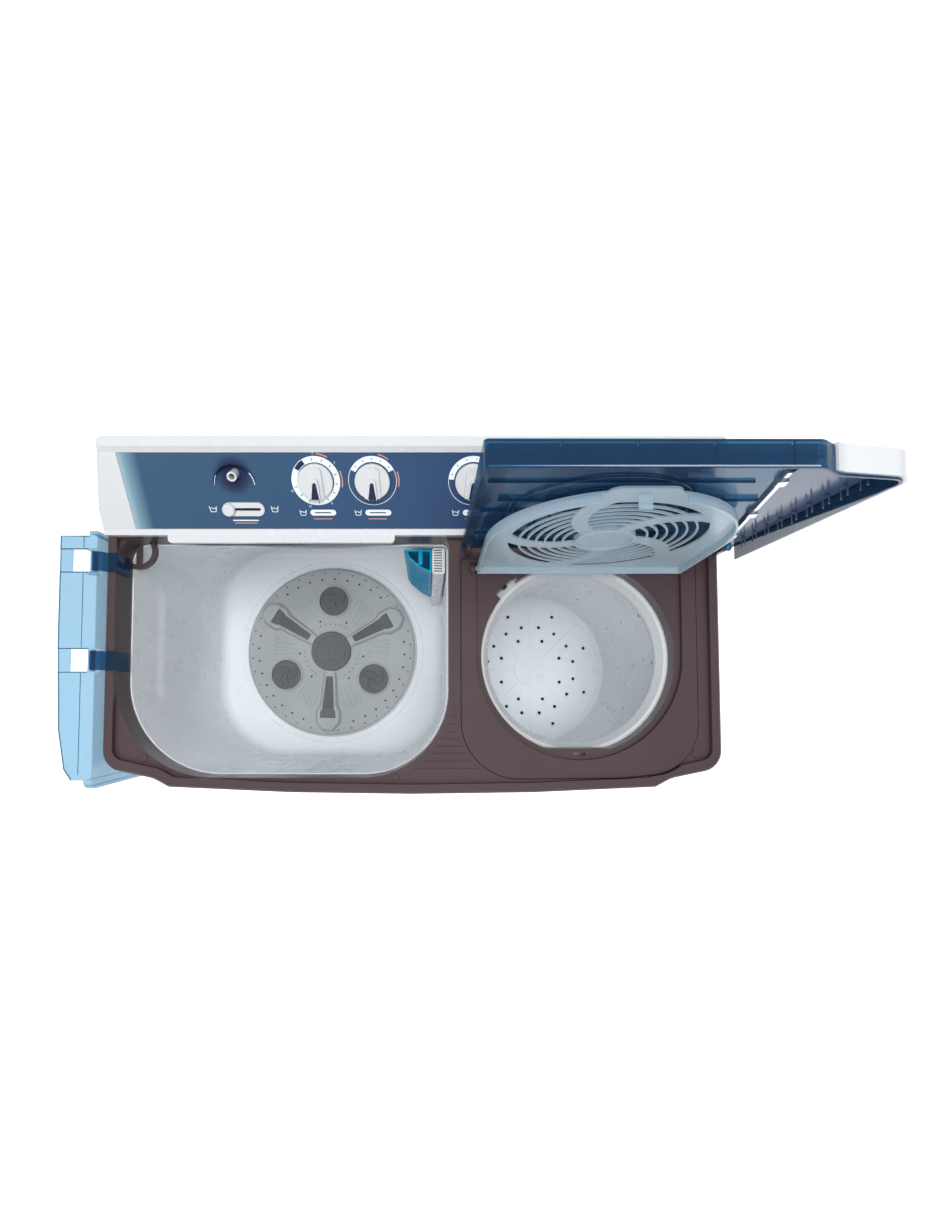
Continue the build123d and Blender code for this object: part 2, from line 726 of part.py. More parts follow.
def console_block(d):
    z = DECK_TOP
    top_y = PANEL_Y + PANEL_LEN * C35
    top_z = PANEL_Z + PANEL_LEN * S35
    pts = [(126 + d, z - 0.0), (126 + d, z + 8 - d), (PANEL_Y + d * 0.7, PANEL_Z - d * 0.6),
           (top_y + d * 0.5, top_z - d), (top_y + 5, z + CROWN - d), (BACK_Y - 5 - d, z + CROWN - d),
           (BACK_Y - d, z + CROWN - 6 - d), (BACK_Y - d, z)]
    body = solid_yz(pts, -HALF_W + d, HALF_W - d)
    for s in (-1, 1):
        a = s * (HALF_W - d)
        b = s * (HALF_W - 25 - d)
        far = s * 600
        cut = [(a, z + 25), (b, z + 82), (b, z + 200), (far, z + 200), (far, z + 25)]
        body = body - solid_xz(cut, 0, 400)
    return body


def console_housing():
    z = DECK_TOP
    body = console_block(0)
    try:
        tops = [e for e in body.edges() if e.center().Z > z + 26 and abs(e.center().X) > 405]
        body = fillet(tops, 7)
    except Exception as err:
        print("console corners stay sharp", err)
    body = body - console_block(3.2).moved(Location((0, 0, -0.01)))
    # thumb ledge in front of the wash side
    lip = round_poly([(-348, 128), (-348, 115), (-25, 115), (-25, 128)], [0, 6, 6, 0])
    body = body + plate(lip, z, z + 8)
    # recess and window for the blue panel
    body = body - on_panel(box(-PANEL_HALF, PANEL_HALF, 0.6, PANEL_LEN - 1, -1.6, 30))
    body = body - on_panel(box(-PANEL_HALF + 7, PANEL_HALF - 7, 7, PANEL_LEN - 8, -9, 30))
    return body


def control_panel():
    body = on_panel(box(-PANEL_HALF + 7.4, PANEL_HALF - 7.4, 7.4, PANEL_LEN - 8.4, -5, -1.6))
    skin = on_panel(box(-PANEL_HALF + 0.6, PANEL_HALF - 0.6, 1.2, PANEL_LEN - 1.6, -1.6, -0.4))
    body = body + skin
    # alcove behind the water spout
    cup = on_panel(Pos(-241, 66, 0) * (rod(0, 0, 31, -19, -4) & box(-40, 40, -4, 40, -30, 0)))
    body = body + cup
    ramp = Rot(-24, 0, 0) * box(-40, 40, 0, 60, -0.01, 60)
    scoop = Pos(-241, 62, -0.4) * (rod(0, 0, 28, -16, 30) & ramp)
    body = body - on_panel(scoop)
    body = body - on_panel(rod(-241, 76, 6.9, -40, 10))
    for x in KNOB_X.values():
        body = body - on_panel(rod(x, KNOB_V, SHAFT_R + 0.6, -30, 10))
    slot = box(-258, -210, 27.5, 31.5, -30, 10)
    body = body - on_panel(slot)
    return body


def panel_dials():
    out = []
    for x in KNOB_X.values():
        out.append(on_panel(tube(x, KNOB_V, 33, 24.6, -0.4, 0.2)))
    for x in (-126, -49, 87, 164):
        pill = round_poly([(x - 18, 20), (x - 18, 28.6), (x + 20, 28.6), (x + 20, 20)],
                          [4.2, 4.2, 4.2, 4.2])
        out.append(on_panel(plate(pill, -0.4, 0.0)))
    return together(out)


def water_selector_track():
    face = round_poly([(-263, 20), (-263, 39), (-205, 39), (-205, 20)], [9.4] * 4)
    hole = round_poly([(-258, 27.5), (-258, 31.5), (-210, 31.5), (-210, 27.5)], [1.9] * 4)
    track = plate(face, -0.4, 2.2) - plate(hole, -5, 5)
    return on_panel(track)


def water_selector_knob():
    knob = rod(-254, 29.5, 8.6, 2.6, 8.5)
    knob = chamfer(knob.edges().group_by(Axis.Z)[-1], 1.5)
    stem = rod(-254, 29.5, 1.5, -9, 3)
    foot = rod(-254, 29.5, 5, -12, -8)
    return on_panel(knob + stem + foot)


def inlet_nozzle():
    spout = rod(0, 0, 6.5, -32, 8)
    spout = spout + rod(0, 0, 9, -27, -22)
    spout = spout - rod(0, 0, 4.2, -40, 20)
    return on_panel(Pos(-241, 76, 0) * spout)


def knob(node):
    """A round knob with a raised tapered grip; its shaft goes down into the switch."""
    x = KNOB_X[node]
    body = rod(0, 0, 23.5, 0.5, 7)
    body = chamfer(body.edges().group_by(Axis.Z)[-1], 1.2)
    pts = [(-4.6, 6), (-6.8, -21.5), (6.8, -21.5), (4.6, 6)]
    grip = plate(round_poly(pts, [4.4, 1.5, 1.5, 4.4]), 6, 17)
    wings = plate(round_poly([(-9, 20), (-11, -21), (11, -21), (9, 20)], [6, 2, 2, 6]), 6, 12)
    wings = wings & rod(0, 0, 23, 0, 40)
    grip = grip & rod(0, 0, 23.2, 0, 40)
    body = body + wings + grip
    groove = plate(round_poly([(-2.6, 1), (-5.2, -24), (5.2, -24), (2.6, 1)], [0] * 4), 15, 20)
    body = body - groove
    body = body + rod(0, 0, SHAFT_R, -14, 1)
    return on_panel(Pos(x, KNOB_V, 0) * body)


def switch_unit(node, w, h, depth):
    x = KNOB_X[node]
    body = Pos(0, 0, -5.4 - depth / 2) * Box(w, h, depth)
    body = body + rod(0, 0, 9, -5.4, -5.05)
    body = body - rod(0, 0, SHAFT_R + PIN_GAP, -16, 0)
    body = body + box(-w / 2 + 3, w / 2 - 3, -3, 3, -5.4 - depth - 5, -5.4 - depth + 1)
    return on_panel(Pos(x, KNOB_V, 0) * body)


# ---- lids -------------------------------------------------------------------
def wash_lid_closed():
    """The wash lid drawn closed; the plate's top is 6 mm above the hinge axis."""
    ax, az = WASH_AXIS
    top = az + 6
    x0, x1 = ax - 6, 63.0
    y0, y1 = -232.0, 130.0
    face = round_poly([(x0, y1), (x0, y0), (x1, y0), (x1, y1)], [3, 12, 8, 3])
    body = plate(face, top - 3, top)
    # left skirt: deep along the side, shallower at the front
    # its back end is cut short, so that it passes in front of the console
    back = y1 - 6.5
    deep = [(y1, top), (y1, top - 12), (back, top - 12), (back, top - 53), (-30, top - 53),
            (-150, top - 49), (-205, top - 40), (y0 + 12, top - 30), (y0 + 12, top)]
    skirt = solid_yz(deep, x0, x0 + 3)
    body = body + skirt
    corner = plate(face, top - 12, top) - plate(
        round_poly([(x0 + 3, y1 + 9), (x0 + 3, y0 + 3), (x1 - 3, y0 + 3), (x1 - 3, y1 + 9)],
                   [1, 9.5, 5.5, 1]), top - 14, top - 3)
    body = body + corner
    body = body + box(x0 + 3, x1 - 3, y0 + 11, y0 + 13, top - 9, top - 2)
    body = body + box(x0 + 3, x1 - 3, y1 - 3, y1, top - 12, top - 2)
    # raised field on top
    field = round_poly([(x0 + 40, 105), (x0 + 40, -205), (x1 - 30, -205), (x1 - 30, 105)],
                       [30, 30, 30, 30])
    field_in = round_poly([(x0 + 43, 102), (x0 + 43, -202), (x1 - 33, -202), (x1 - 33, 102)],
                          [27, 27, 27, 27])
    body = body + plate(field, top - 1, top + 3) - plate(field_in, top - 4, top + 0.5)
    # pockets at the two hinge brackets, and the pins across them
    for yc in (88.0, -53.0):
        a, b = yc - 15.5, yc + 15.5
        liner = box(x0, ax + 10, a - 2.5, b + 2.5, az - 36.5, top)
        inside = box(x0 - 1, ax + 7.5, a, b, az - 60, top + 9)
        body = body + (liner & box(x0, ax + 10, a - 3, b + 3, az - 12, top)) - inside
        body = body + rod_y(ax, az, PIN_R, a - 1.5, b + 1.5)
    # short grip at the free edge
    body = body + box(x1 - 3, x1, -110, -10, top - 14, top - 2)
    return body


def wash_lid():
    ax, az = WASH_AXIS
    closed = wash_lid_closed()
    turn = Pos(ax, 0, az) * Rot(0, 90, 0) * Pos(-ax, 0, -az)
    return turn * closed


def wash_lid_brackets():
    ax, az = WASH_AXIS
    out = []
    for yc in (88.0, -53.0):
        a, b = yc - 13.5, yc + 13.5
        rim = DECK_TOP
        pts = [(ax, az - 4.5), (ax + 8, az - 4.5), (-437, rim), (OPEN_L + 0.2, rim),
               (OPEN_L + 0.2, rim - 38), (OPEN_L + 3.2, rim - 38), (OPEN_L + 3.2, rim + 3),
               (-436, rim + 4), (ax + 7, az + 4.5), (ax, az + 4.5)]
        arm = solid_xz(pts, a, b)
        eye = rod_y(ax, az, 5.2, a, b)
        body = arm + eye
        body = body - rod_y(ax, az, PIN_R + PIN_GAP, a - 1, b + 1)
        out.append(body)
    return together(out)


def spin_lid_face(d):
    x0, x1 = 68.0 + d, 447.0 - d
    front = -238.0 + d
    pts = [(x0, SPIN_AXIS[0] + 5), (x0, front), (350, front + 1), (374, front + 18),
           (x1, front + 31), (x1, SPIN_AXIS[0] + 5)]
    return round_poly(pts, [2, 5, 14, 30, 24 - d, 2])


def spin_lid_closed():
    """The spin lid drawn closed: a tray with its skirts down."""
    y, z = SPIN_AXIS
    top = z + 3
    low = DECK_TOP + 1.6
    face = spin_lid_face(0)
    body = plate(face, low, top) - plate(spin_lid_face(2.6), low - 1, top - 3)
    # the skirts get shallower towards the hinge
    wedge = solid_yz([(-225, low - 0.5), (y + 9, top - 3.0), (y + 9, low - 5), (-225, low - 5)],
                     50, 470)
    body = body - wedge
    # right skirt stands outside the deck, so it is a separate opaque trim
    # ribs in the front lip
    for x in (133, 197, 261, 325):
        body = body + box(x - 1.2, x + 1.2, -236, -222, low + 4, top - 2)
    body = body + box(70, 352, -224.5, -222.5, low + 10, top - 2)
    # stiffening frame inside
    body = body + box(96, 370, -100, -98, top - 7, top - 2)
    # notches round the hinge ears
    body = body - box(74, 84, 92, 120, z - 20, z + 10)
    body = body - box(428, 438, 92, 120, z - 20, z + 10)
    # hinge bosses and pins
    body = body + rod_x(y, z, 5.6, 68, 73.8) + rod_x(y, z, PIN_R, 73, 84)
    body = body + rod_x(y, z, 5.6, 438.2, 444) + rod_x(y, z, PIN_R, 428, 439)
    return body


def spin_lid_open(shape):
    y, z = SPIN_AXIS
    turn = Pos(0, y, z) * Rot(-90, 0, 0) * Pos(0, -y, -z)
    return turn * shape


def spin_lid_trim_closed():
    """White cover outside the lid's right side and front right corner."""
    y, z = SPIN_AXIS
    top = z + 3
    low = DECK_TOP + 2.0
    zone = box(352, 460, -300, 100, low - 20, top + 2.2) & solid_xz(
        [(352, low - 20), (352, top + 3), (460, top + 3), (460, low - 20)], -300, 100)
    outer = plate(spin_lid_face(-3.0), low + 2, top + 2.2)
    inner = plate(spin_lid_face(0.0), low - 9, top)
    skin = (outer - inner) & zone
    slant = plate(round_poly([(400, -300), (352, -190), (425, 100), (480, 100), (480, -300)],
                             [0] * 5), low - 20, top + 5)
    keep = skin & slant
    # notch round the hinge ear
    return keep - box(428, 438, 92, 120, z - 20, z + 10)


def spin_lid_seam_closed():
    """Bright joining strip with clips between the tray and the trim."""
    y, z = SPIN_AXIS
    top = z + 3
    under = top - 3
    a = Vector(356, -180, 0)
    b = Vector(420, 70, 0)
    ang = math.degrees(math.atan2(b.Y - a.Y, b.X - a.X))
    length = (b - a).length
    mid = (a + b) * 0.5
    strip = Pos(mid.X, mid.Y, under - 2) * Rot(0, 0, ang) * Box(length, 4, 4)
    for t in (0.1, 0.5, 0.85):
        p = a + (b - a) * t
        strip = strip + Pos(p.X, p.Y, under - 3) * Rot(0, 0, ang) * Box(14, 9, 6)
    return strip


def inner_lid_closed():
    """Spin safety cover drawn closed: plate, rim, vanes and the catch tab."""
    y, z = INNER_AXIS
    r = 146.5
    t0, t1 = z + 1.0, z + 3.5
    pts = [(SPIN_X - r, y), (SPIN_X - r, SPIN_Y - r), (SPIN_X + r, SPIN_Y - r), (SPIN_X + r, y)]
    face = round_poly(pts, [1.5, r - 0.02, r - 0.02, 1.5])
    pts = [(SPIN_X - r + 2.4, y - 3), (SPIN_X - r + 2.4, SPIN_Y - r + 2.4),
           (SPIN_X + r - 2.4, SPIN_Y - r + 2.4), (SPIN_X + r - 2.4, y - 3)]
    inside = round_poly(pts, [1.5, r - 2.42, r - 2.42, 1.5])
    body = plate(face, t0, t1)
    rim = plate(face, 911, t1) - plate(inside, 900, t0)
    rim = rim - box(SPIN_X - 44, SPIN_X + 44, -200, -172, 900, t0)
    body = body + rim
    # openings between curved vanes round the hub
    hx, hy = SPIN_X, SPIN_Y
    opening = tube(hx, hy, 118, 36, t0 - 2, t1 + 2)
    body = body - opening
    for k in range(5):
        a = 72 * k
        blade = Pos(hx, hy, 0) * Rot(0, 0, a) * Pos(78, 0, 0)
        crescent = blade * (tube(0, 0, 80, 62, t0, t1) & box(-90, 34, -90, 0, t0 - 1, t1 + 1))
        body = body + (crescent & tube(hx, hy, 119, 35, t0 - 2, t1 + 2))
    for rr in (50, 61, 72, 83, 94, 105):
        body = body + tube(hx, hy, rr + 1.2, rr - 1.2, t0, t1)
    body = body + tube(hx, hy, 37, 33, t0 - 3, t1 + 1.5) + rod(hx, hy, 35, t0, t1)
    # arched finger tab at the front edge
    tab = plate(round_poly([(hx - 44, -170), (hx - 34, -199), (hx + 34, -199), (hx + 44, -170)],
                           [6, 14, 14, 6]), t0, t1)
    body = body + tab
    body = body + box(hx - 7, hx + 7, -187.2, -184.8, 904, t0 + 0.5)
    # hinge bar and its pins
    body = body + rod_x(y, z, 4.2, hx - r, hx + r) + rod_x(y, z, PIN_R, hx - 155.5, hx + 155.5)
    return body


def inner_lid():
    y, z = INNER_AXIS
    turn = Pos(0, y, z) * Rot(-(90 + INNER_LEAN), 0, 0) * Pos(0, -y, -z)
    return turn * inner_lid_closed()


def interlock_switch():
    """Switch and finger behind the slot at the left back of the spin opening."""
    x, y = SPIN_X, SPIN_Y
    body = Pos(x, y, 0) * Rot(0, 0, 135) * box(150, 163, -14, 14, 889, 902.5)
    finger = Pos(x, y, 0) * Rot(0, 0, 135) * box(144.5, 151, -3, 3, 893, 902)
    return body + finger


# ---- write every node -------------------------------------------------------
save(base_tray(), "base_tray")
save(feet(), "feet")
save(cabinet_shell(), "cabinet_shell")
save(back_cover(), "back_cover")
save(back_cover_screws(), "back_cover_screws")
save(deck_frame(), "deck_frame")
save(deck_screw_caps(), "deck_screw_caps")
save(spin_deck_insert(), "spin_deck_insert")
save(hose_ring(), "hose_ring")
save(wash_tub(), "wash_tub")
save(filter_housing(), "filter_housing")
save(lint_filter(), "lint_filter")
save(spin_outer_tub(), "spin_outer_tub")
save(spin_basket(), "spin_basket")
save(balance_ring(), "balance_ring")
save(pulsator(), "pulsator")
save(pulsator_inserts(), "pulsator_inserts")
save(pulsator_cap(), "pulsator_cap")
save(drive_plate(), "drive_plate")
save(gearbox_housing(), "gearbox_housing")
save(gearbox_pulley(), "gearbox_pulley")
save(wash_motor(), "wash_motor")
save(motor_pulley(), "motor_pulley")
save(drive_belt(), "drive_belt")
save(capacitor(), "capacitor")
save(spin_motor(), "spin_motor")
save(motor_springs(), "motor_springs")
save(spin_shaft(), "spin_shaft")
save(brake_drum(), "brake_drum")
save(brake_lever(), "brake_lever")
save(shaft_bellows(), "shaft_bellows")
save(drain_valve_body(), "drain_valve_body")
save(drain_valve_plunger(), "drain_valve_plunger")
save(drain_hose(), "drain_hose")
save(drain_outlet(), "drain_outlet")
save(cord_gland(), "cord_gland")
save(console_housing(), "console_housing")
save(control_panel(), "control_panel")
save(panel_dials(), "panel_dials")
save(water_selector_track(), "water_selector_track")
save(water_selector_knob(), "water_selector_knob")
save(inlet_nozzle(), "inlet_nozzle")
for name in KNOB_X:
    save(knob(name), name + "_knob")
save(switch_unit("wash_timer", 52, 46, 30), "wash_timer_unit")
save(switch_unit("wash_selector", 34, 34, 22), "wash_selector_switch")
save(switch_unit("drain_selector", 30, 40, 18), "drain_selector_cam")
save(switch_unit("spin_timer", 52, 46, 30), "spin_timer_unit")
save(wash_lid(), "wash_lid")
save(wash_lid_brackets(), "wash_lid_brackets")
save(spin_lid_open(spin_lid_closed()), "spin_lid_tray")
save(spin_lid_open(spin_lid_trim_closed()), "spin_lid_trim")
save(spin_lid_open(spin_lid_seam_closed()), "spin_lid_seam")
save(inner_lid(), "inner_lid")
save(interlock_switch(), "interlock_switch")
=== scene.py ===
# %% [markdown]
# # A twin tub washing machine
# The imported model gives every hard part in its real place. This lesson adds what makes it look
# real: a moulded wash tub, embossed plastic, dial graphics, ribs inside the tinted lids, and a
# procedural finish for every part. All lengths in the helpers are millimetres.

# %% Load the frame
import math
import bpy
from mathutils import Matrix, Vector


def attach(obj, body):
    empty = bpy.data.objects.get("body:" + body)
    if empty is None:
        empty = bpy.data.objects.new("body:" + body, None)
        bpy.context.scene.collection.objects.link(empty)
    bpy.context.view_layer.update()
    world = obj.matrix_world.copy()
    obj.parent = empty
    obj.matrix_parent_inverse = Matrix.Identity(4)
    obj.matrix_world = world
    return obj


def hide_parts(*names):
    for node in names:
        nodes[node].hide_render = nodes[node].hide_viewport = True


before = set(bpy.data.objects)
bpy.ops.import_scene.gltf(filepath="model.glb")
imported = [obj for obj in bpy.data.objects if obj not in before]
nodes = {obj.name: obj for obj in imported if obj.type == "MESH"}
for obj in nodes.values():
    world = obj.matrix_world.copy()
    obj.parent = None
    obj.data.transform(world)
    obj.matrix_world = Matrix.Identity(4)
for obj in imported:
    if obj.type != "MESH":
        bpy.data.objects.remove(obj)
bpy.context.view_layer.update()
MM = 0.001

# %% [markdown]
# ## Camera, light and floor
# The machine is seen from straight above its deck, a little towards the console, with a wide
# lens close by. That is why the tub walls spread outwards and the open lid looms. A pale floor
# and a white sky with three broad lamps give soft light with no hard shadow.

# %% Camera
camera_data = bpy.data.cameras.new("camera")
camera = bpy.data.objects.new("camera", camera_data)
bpy.context.scene.collection.objects.link(camera)
bpy.context.scene.camera = camera
FOCAL_SHARE = 600 / 1215          # focal length as a share of the picture's height
camera_data.sensor_width = 36
camera_data.lens = 36 * FOCAL_SHARE
camera_data.shift_x = 0.0354
camera_data.shift_y = 0.0520
camera_data.clip_start = 0.02
camera.location = (0.021, -0.107, 1.7767)
camera.rotation_euler = (math.radians(2.7), 0, 0)
print("lens", round(camera_data.lens, 2))

# %% Sky and lamps
world = bpy.data.worlds.new("studio")
bpy.context.scene.world = world
world.use_nodes = True
sky = world.node_tree.nodes["Background"]
sky.inputs["Color"].default_value = (0.94, 0.97, 1.0, 1)
sky.inputs["Strength"].default_value = 0.42


def lamp(name, place, aim, size, watts):
    data = bpy.data.lights.new(name, "AREA")
    data.shape = "DISK"
    data.size = size
    data.energy = watts
    thing = bpy.data.objects.new(name, data)
    bpy.context.scene.collection.objects.link(thing)
    thing.location = place
    thing.rotation_euler = (Vector(aim) - Vector(place)).to_track_quat("-Z", "Y").to_euler()
    # a large soft lamp is not seen in gloss, so dark plastic keeps its depth
    thing.visible_glossy = False
    return thing


lamp("key", (-1.3, -1.6, 3.2), (0, 0, 0.9), 1.6, 20)
lamp("top", (0.1, 0.0, 3.9), (0, 0, 0.5), 1.7, 72)
lamp("back", (0.6, 2.6, 2.4), (0, 0, 0.9), 1.6, 6)
bpy.context.scene.view_settings.view_transform = "Standard"
print("lamps", 3)


# %% [markdown]
# ## Meshes from points
# Every added piece is a list of points and faces in millimetres, made into a mesh object that
# sits at the origin. One helper does that, turns on smooth shading with crisp edges, gives the
# piece its finish and fixes it to the body it moves with.

# %% Mesh helpers
def make_mesh(name, points, faces, finish=None, angle=35):
    mesh = bpy.data.meshes.new(name)
    mesh.from_pydata([(x * MM, y * MM, z * MM) for x, y, z in points], [], faces)
    mesh.validate()
    mesh.shade_smooth()
    mesh.set_sharp_from_angle(angle=math.radians(angle))
    if finish:
        mesh.materials.append(finish)
    return mesh


def place(mesh, body, slot):
    thing = bpy.data.objects.new(mesh.name, mesh)
    bpy.context.scene.collection.objects.link(thing)
    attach(thing, body)
    return thing


def piece(name, points, faces, body, slot, finish, angle=35):
    return place(make_mesh(name, points, faces, finish, angle), body, slot)


def join(parts):
    """Several (points, faces) lists as one."""
    points, faces = [], []
    for p, f in parts:
        base = len(points)
        points += p
        faces += [tuple(base + i for i in face) for face in f]
    return points, faces


def moved(part, matrix):
    return [tuple(matrix @ Vector(p)) for p in part[0]], part[1]


def prism(outline, low, high):
    """A flat outline, counter-clockwise, raised from low to high."""
    n = len(outline)
    points = [(x, y, low) for x, y in outline] + [(x, y, high) for x, y in outline]
    faces = [tuple(reversed(range(n))), tuple(range(n, 2 * n))]
    faces += [(i, (i + 1) % n, n + (i + 1) % n, n + i) for i in range(n)]
    return points, faces


def grid_faces(rows, count, closed=True, flip=False):
    """Quads between rings of `count` points."""
    faces = []
    last = count if closed else count - 1
    for r in range(rows - 1):
        for i in range(last):
            a, b = r * count + i, r * count + (i + 1) % count
            quad = (a, b, b + count, a + count)
            faces.append(tuple(reversed(quad)) if flip else quad)
    return faces


def tube(path, radius, sides=8, closed=False, flat=1.0):
    """A round bar along a path of points; `flat` squeezes it in height."""
    points = []
    n = len(path)
    for i in range(n):
        here = Vector(path[i])
        back = Vector(path[(i - 1) % n]) if closed or i > 0 else here
        ahead = Vector(path[(i + 1) % n]) if closed or i < n - 1 else here
        along = (ahead - back).normalized()
        up = Vector((0, 0, 1)) if abs(along.z) < 0.9 else Vector((0, 1, 0))
        side = along.cross(up).normalized()
        up = side.cross(along).normalized()
        for k in range(sides):
            a = 2 * math.pi * k / sides
            at = here + side * radius * math.cos(a) + up * radius * flat * math.sin(a)
            points.append(tuple(at))
    faces = grid_faces(n, sides, True)
    if closed:
        top = (n - 1) * sides
        faces += [(top + k, top + (k + 1) % sides, (k + 1) % sides, k) for k in range(sides)]
    else:
        faces += [tuple(range(sides))[::-1], tuple((n - 1) * sides + k for k in range(sides))]
    return points, faces


def arc(x, y, radius, start, end, count, z=0.0):
    turn = [math.radians(start + (end - start) * k / (count - 1)) for k in range(count)]
    return [(x + radius * math.cos(a), y + radius * math.sin(a), z) for a in turn]


def band(x, y, inner, outer, start, end, low, high, count=24):
    """A flat arc-shaped bar between two radii."""
    far = [(p[0], p[1]) for p in arc(x, y, outer, start, end, count)]
    near = [(p[0], p[1]) for p in arc(x, y, inner, end, start, count)]
    return strip_prism(near[::-1], far, low, high)


def strip_prism(near, far, low, high):
    """A bar between two matching lines of points, as quads."""
    n = len(near)
    points = []
    for z in (low, high):
        points += [(x, y, z) for x, y in near] + [(x, y, z) for x, y in far]
    faces = []
    for i in range(n - 1):
        a, b, c, d = i, i + 1, n + i + 1, n + i
        faces.append((a, b, c, d))
        faces.append((2 * n + d, 2 * n + c, 2 * n + b, 2 * n + a))
        faces.append((b, a, 2 * n + a, 2 * n + b))
        faces.append((d, c, 2 * n + c, 2 * n + d))
    faces.append((0, n, 3 * n, 2 * n))
    faces.append((2 * n - 1, n - 1, 3 * n - 1, 4 * n - 1))
    return points, faces


def turned(points):
    """True if a closed form's volume is negative, so its faces point inwards."""
    pts, faces = points
    total = 0.0
    for face in faces:
        a = Vector(pts[face[0]])
        for i in range(1, len(face) - 1):
            total += a.dot(Vector(pts[face[i]]).cross(Vector(pts[face[i + 1]])))
    return total < 0


def outward(part):
    if turned(part):
        return part[0], [tuple(reversed(f)) for f in part[1]]
    return part


print("mesh helpers ready")

# %% [markdown]
# ## Finishes
# A moulded plastic is never one flat colour. Its pigment drifts a little over a hand's width,
# its gloss changes where the tool was polished, and a fine orange-peel ripple breaks up the
# reflections. One recipe makes all of them from noise on object coordinates. Numbers that are
# the same everywhere sit on the shader's own sockets.

# %% One recipe for solid finishes
finishes = {}


def add(tree, kind, **values):
    node = tree.nodes.new(kind)
    for key, value in values.items():
        setattr(node, key, value)
    return node


def noise(tree, place_from, scale, detail=3.0):
    node = add(tree, "ShaderNodeTexNoise")
    node.inputs["Scale"].default_value = scale
    node.inputs["Detail"].default_value = detail
    tree.links.new(place_from, node.inputs["Vector"])
    return node.outputs["Fac"]


def ramp(tree, fac, stops):
    node = add(tree, "ShaderNodeValToRGB")
    while len(node.color_ramp.elements) < len(stops):
        node.color_ramp.elements.new(0.5)
    for element, (at, color) in zip(node.color_ramp.elements, stops):
        element.position = at
        element.color = (*color, 1)
    tree.links.new(fac, node.inputs["Fac"])
    return node.outputs["Color"]


def spread(tree, fac, low, high):
    node = add(tree, "ShaderNodeMapRange")
    node.inputs["From Min"].default_value = 0.3
    node.inputs["From Max"].default_value = 0.7
    node.inputs["To Min"].default_value = low
    node.inputs["To Max"].default_value = high
    tree.links.new(fac, node.inputs["Value"])
    return node.outputs["Result"]


def solid_finish(name, color, rough, drift=0.05, grain=900, bump=0.12, metal=0.0, coat=0.0,
                 color_fn=None, stretch=(1, 1, 1), depth=0.00008):
    material = bpy.data.materials.new(name)
    material.use_nodes = True
    tree = material.node_tree
    shader = tree.nodes["Principled BSDF"]
    where = add(tree, "ShaderNodeTexCoord").outputs["Object"]
    mapping = add(tree, "ShaderNodeMapping")
    mapping.inputs["Scale"].default_value = stretch
    tree.links.new(where, mapping.inputs["Vector"])
    spot = mapping.outputs["Vector"]
    if color_fn:
        base = color_fn(tree, where)
    else:
        low = tuple(max(c * (1 - drift), 0) for c in color)
        high = tuple(min(c * (1 + drift), 1) for c in color)
        base = ramp(tree, noise(tree, spot, 7.0), [(0.3, low), (0.7, high)])
    tree.links.new(base, shader.inputs["Base Color"])
    gloss = spread(tree, noise(tree, spot, 24.0, 5.0), max(rough - 0.06, 0.03), rough + 0.08)
    tree.links.new(gloss, shader.inputs["Roughness"])
    ripple = add(tree, "ShaderNodeBump")
    ripple.inputs["Strength"].default_value = bump
    ripple.inputs["Distance"].default_value = depth
    tree.links.new(noise(tree, spot, grain, 2.0), ripple.inputs["Height"])
    tree.links.new(ripple.outputs["Normal"], shader.inputs["Normal"])
    shader.inputs["Metallic"].default_value = metal
    shader.inputs["Coat Weight"].default_value = coat
    shader.inputs["Coat Roughness"].default_value = 0.08
    finishes[name] = material
    return material


print("recipe ready")

# %% [markdown]
# ## Solid finishes of the machine
# The deck is a warm mauve-brown gloss plastic, the tubs a cool white, the pulsator a mid grey,
# and the cabinet painted sheet. Underneath there is zinc-coated sheet, cast iron, bare alloy
# and rubber. Brushed metal is the same recipe with the noise stretched along one axis.

# %% Solid finishes
solid_finish("deck", (0.072, 0.046, 0.050), 0.34, 0.06, 700, 0.10, coat=0.15)
solid_finish("cabinet paint", (0.80, 0.82, 0.84), 0.28, 0.015, 500, 0.16, coat=0.3)
solid_finish("white plastic", (0.66, 0.675, 0.69), 0.26, 0.012, 600, 0.06, coat=0.25)
solid_finish("tub plastic", (0.88, 0.91, 0.94), 0.30, 0.010, 500, 0.02, coat=0.2)
solid_finish("pulsator grey", (0.40, 0.425, 0.43), 0.34, 0.07, 800, 0.14)
solid_finish("pulsator dark", (0.135, 0.145, 0.150), 0.38, 0.12, 800, 0.18)
solid_finish("tray grey", (0.20, 0.21, 0.22), 0.55, 0.08, 400, 0.30)
solid_finish("black plastic", (0.018, 0.02, 0.024), 0.42, 0.2, 600, 0.2)
solid_finish("zinc sheet", (0.52, 0.54, 0.56), 0.42, 0.12, 60, 0.25, metal=0.9, depth=0.0002)
solid_finish("machined steel", (0.56, 0.57, 0.58), 0.30, 0.06, 900, 0.2, metal=1.0,
             stretch=(1, 1, 14))
solid_finish("cast iron", (0.075, 0.078, 0.083), 0.62, 0.2, 350, 0.6, metal=0.4, depth=0.0004)
solid_finish("bare alloy", (0.60, 0.61, 0.63), 0.40, 0.08, 500, 0.3, metal=0.95)
solid_finish("black rubber", (0.022, 0.022, 0.023), 0.72, 0.2, 700, 0.4, depth=0.0002)
solid_finish("grey rubber", (0.22, 0.225, 0.23), 0.62, 0.1, 700, 0.35, depth=0.0002)
solid_finish("bright trim", (0.66, 0.70, 0.76), 0.16, 0.04, 800, 0.05, metal=0.85)
solid_finish("print white", (0.80, 0.87, 0.91), 0.34, 0.02, 900, 0.05)
solid_finish("print navy", (0.012, 0.022, 0.065), 0.32, 0.12, 900, 0.05)
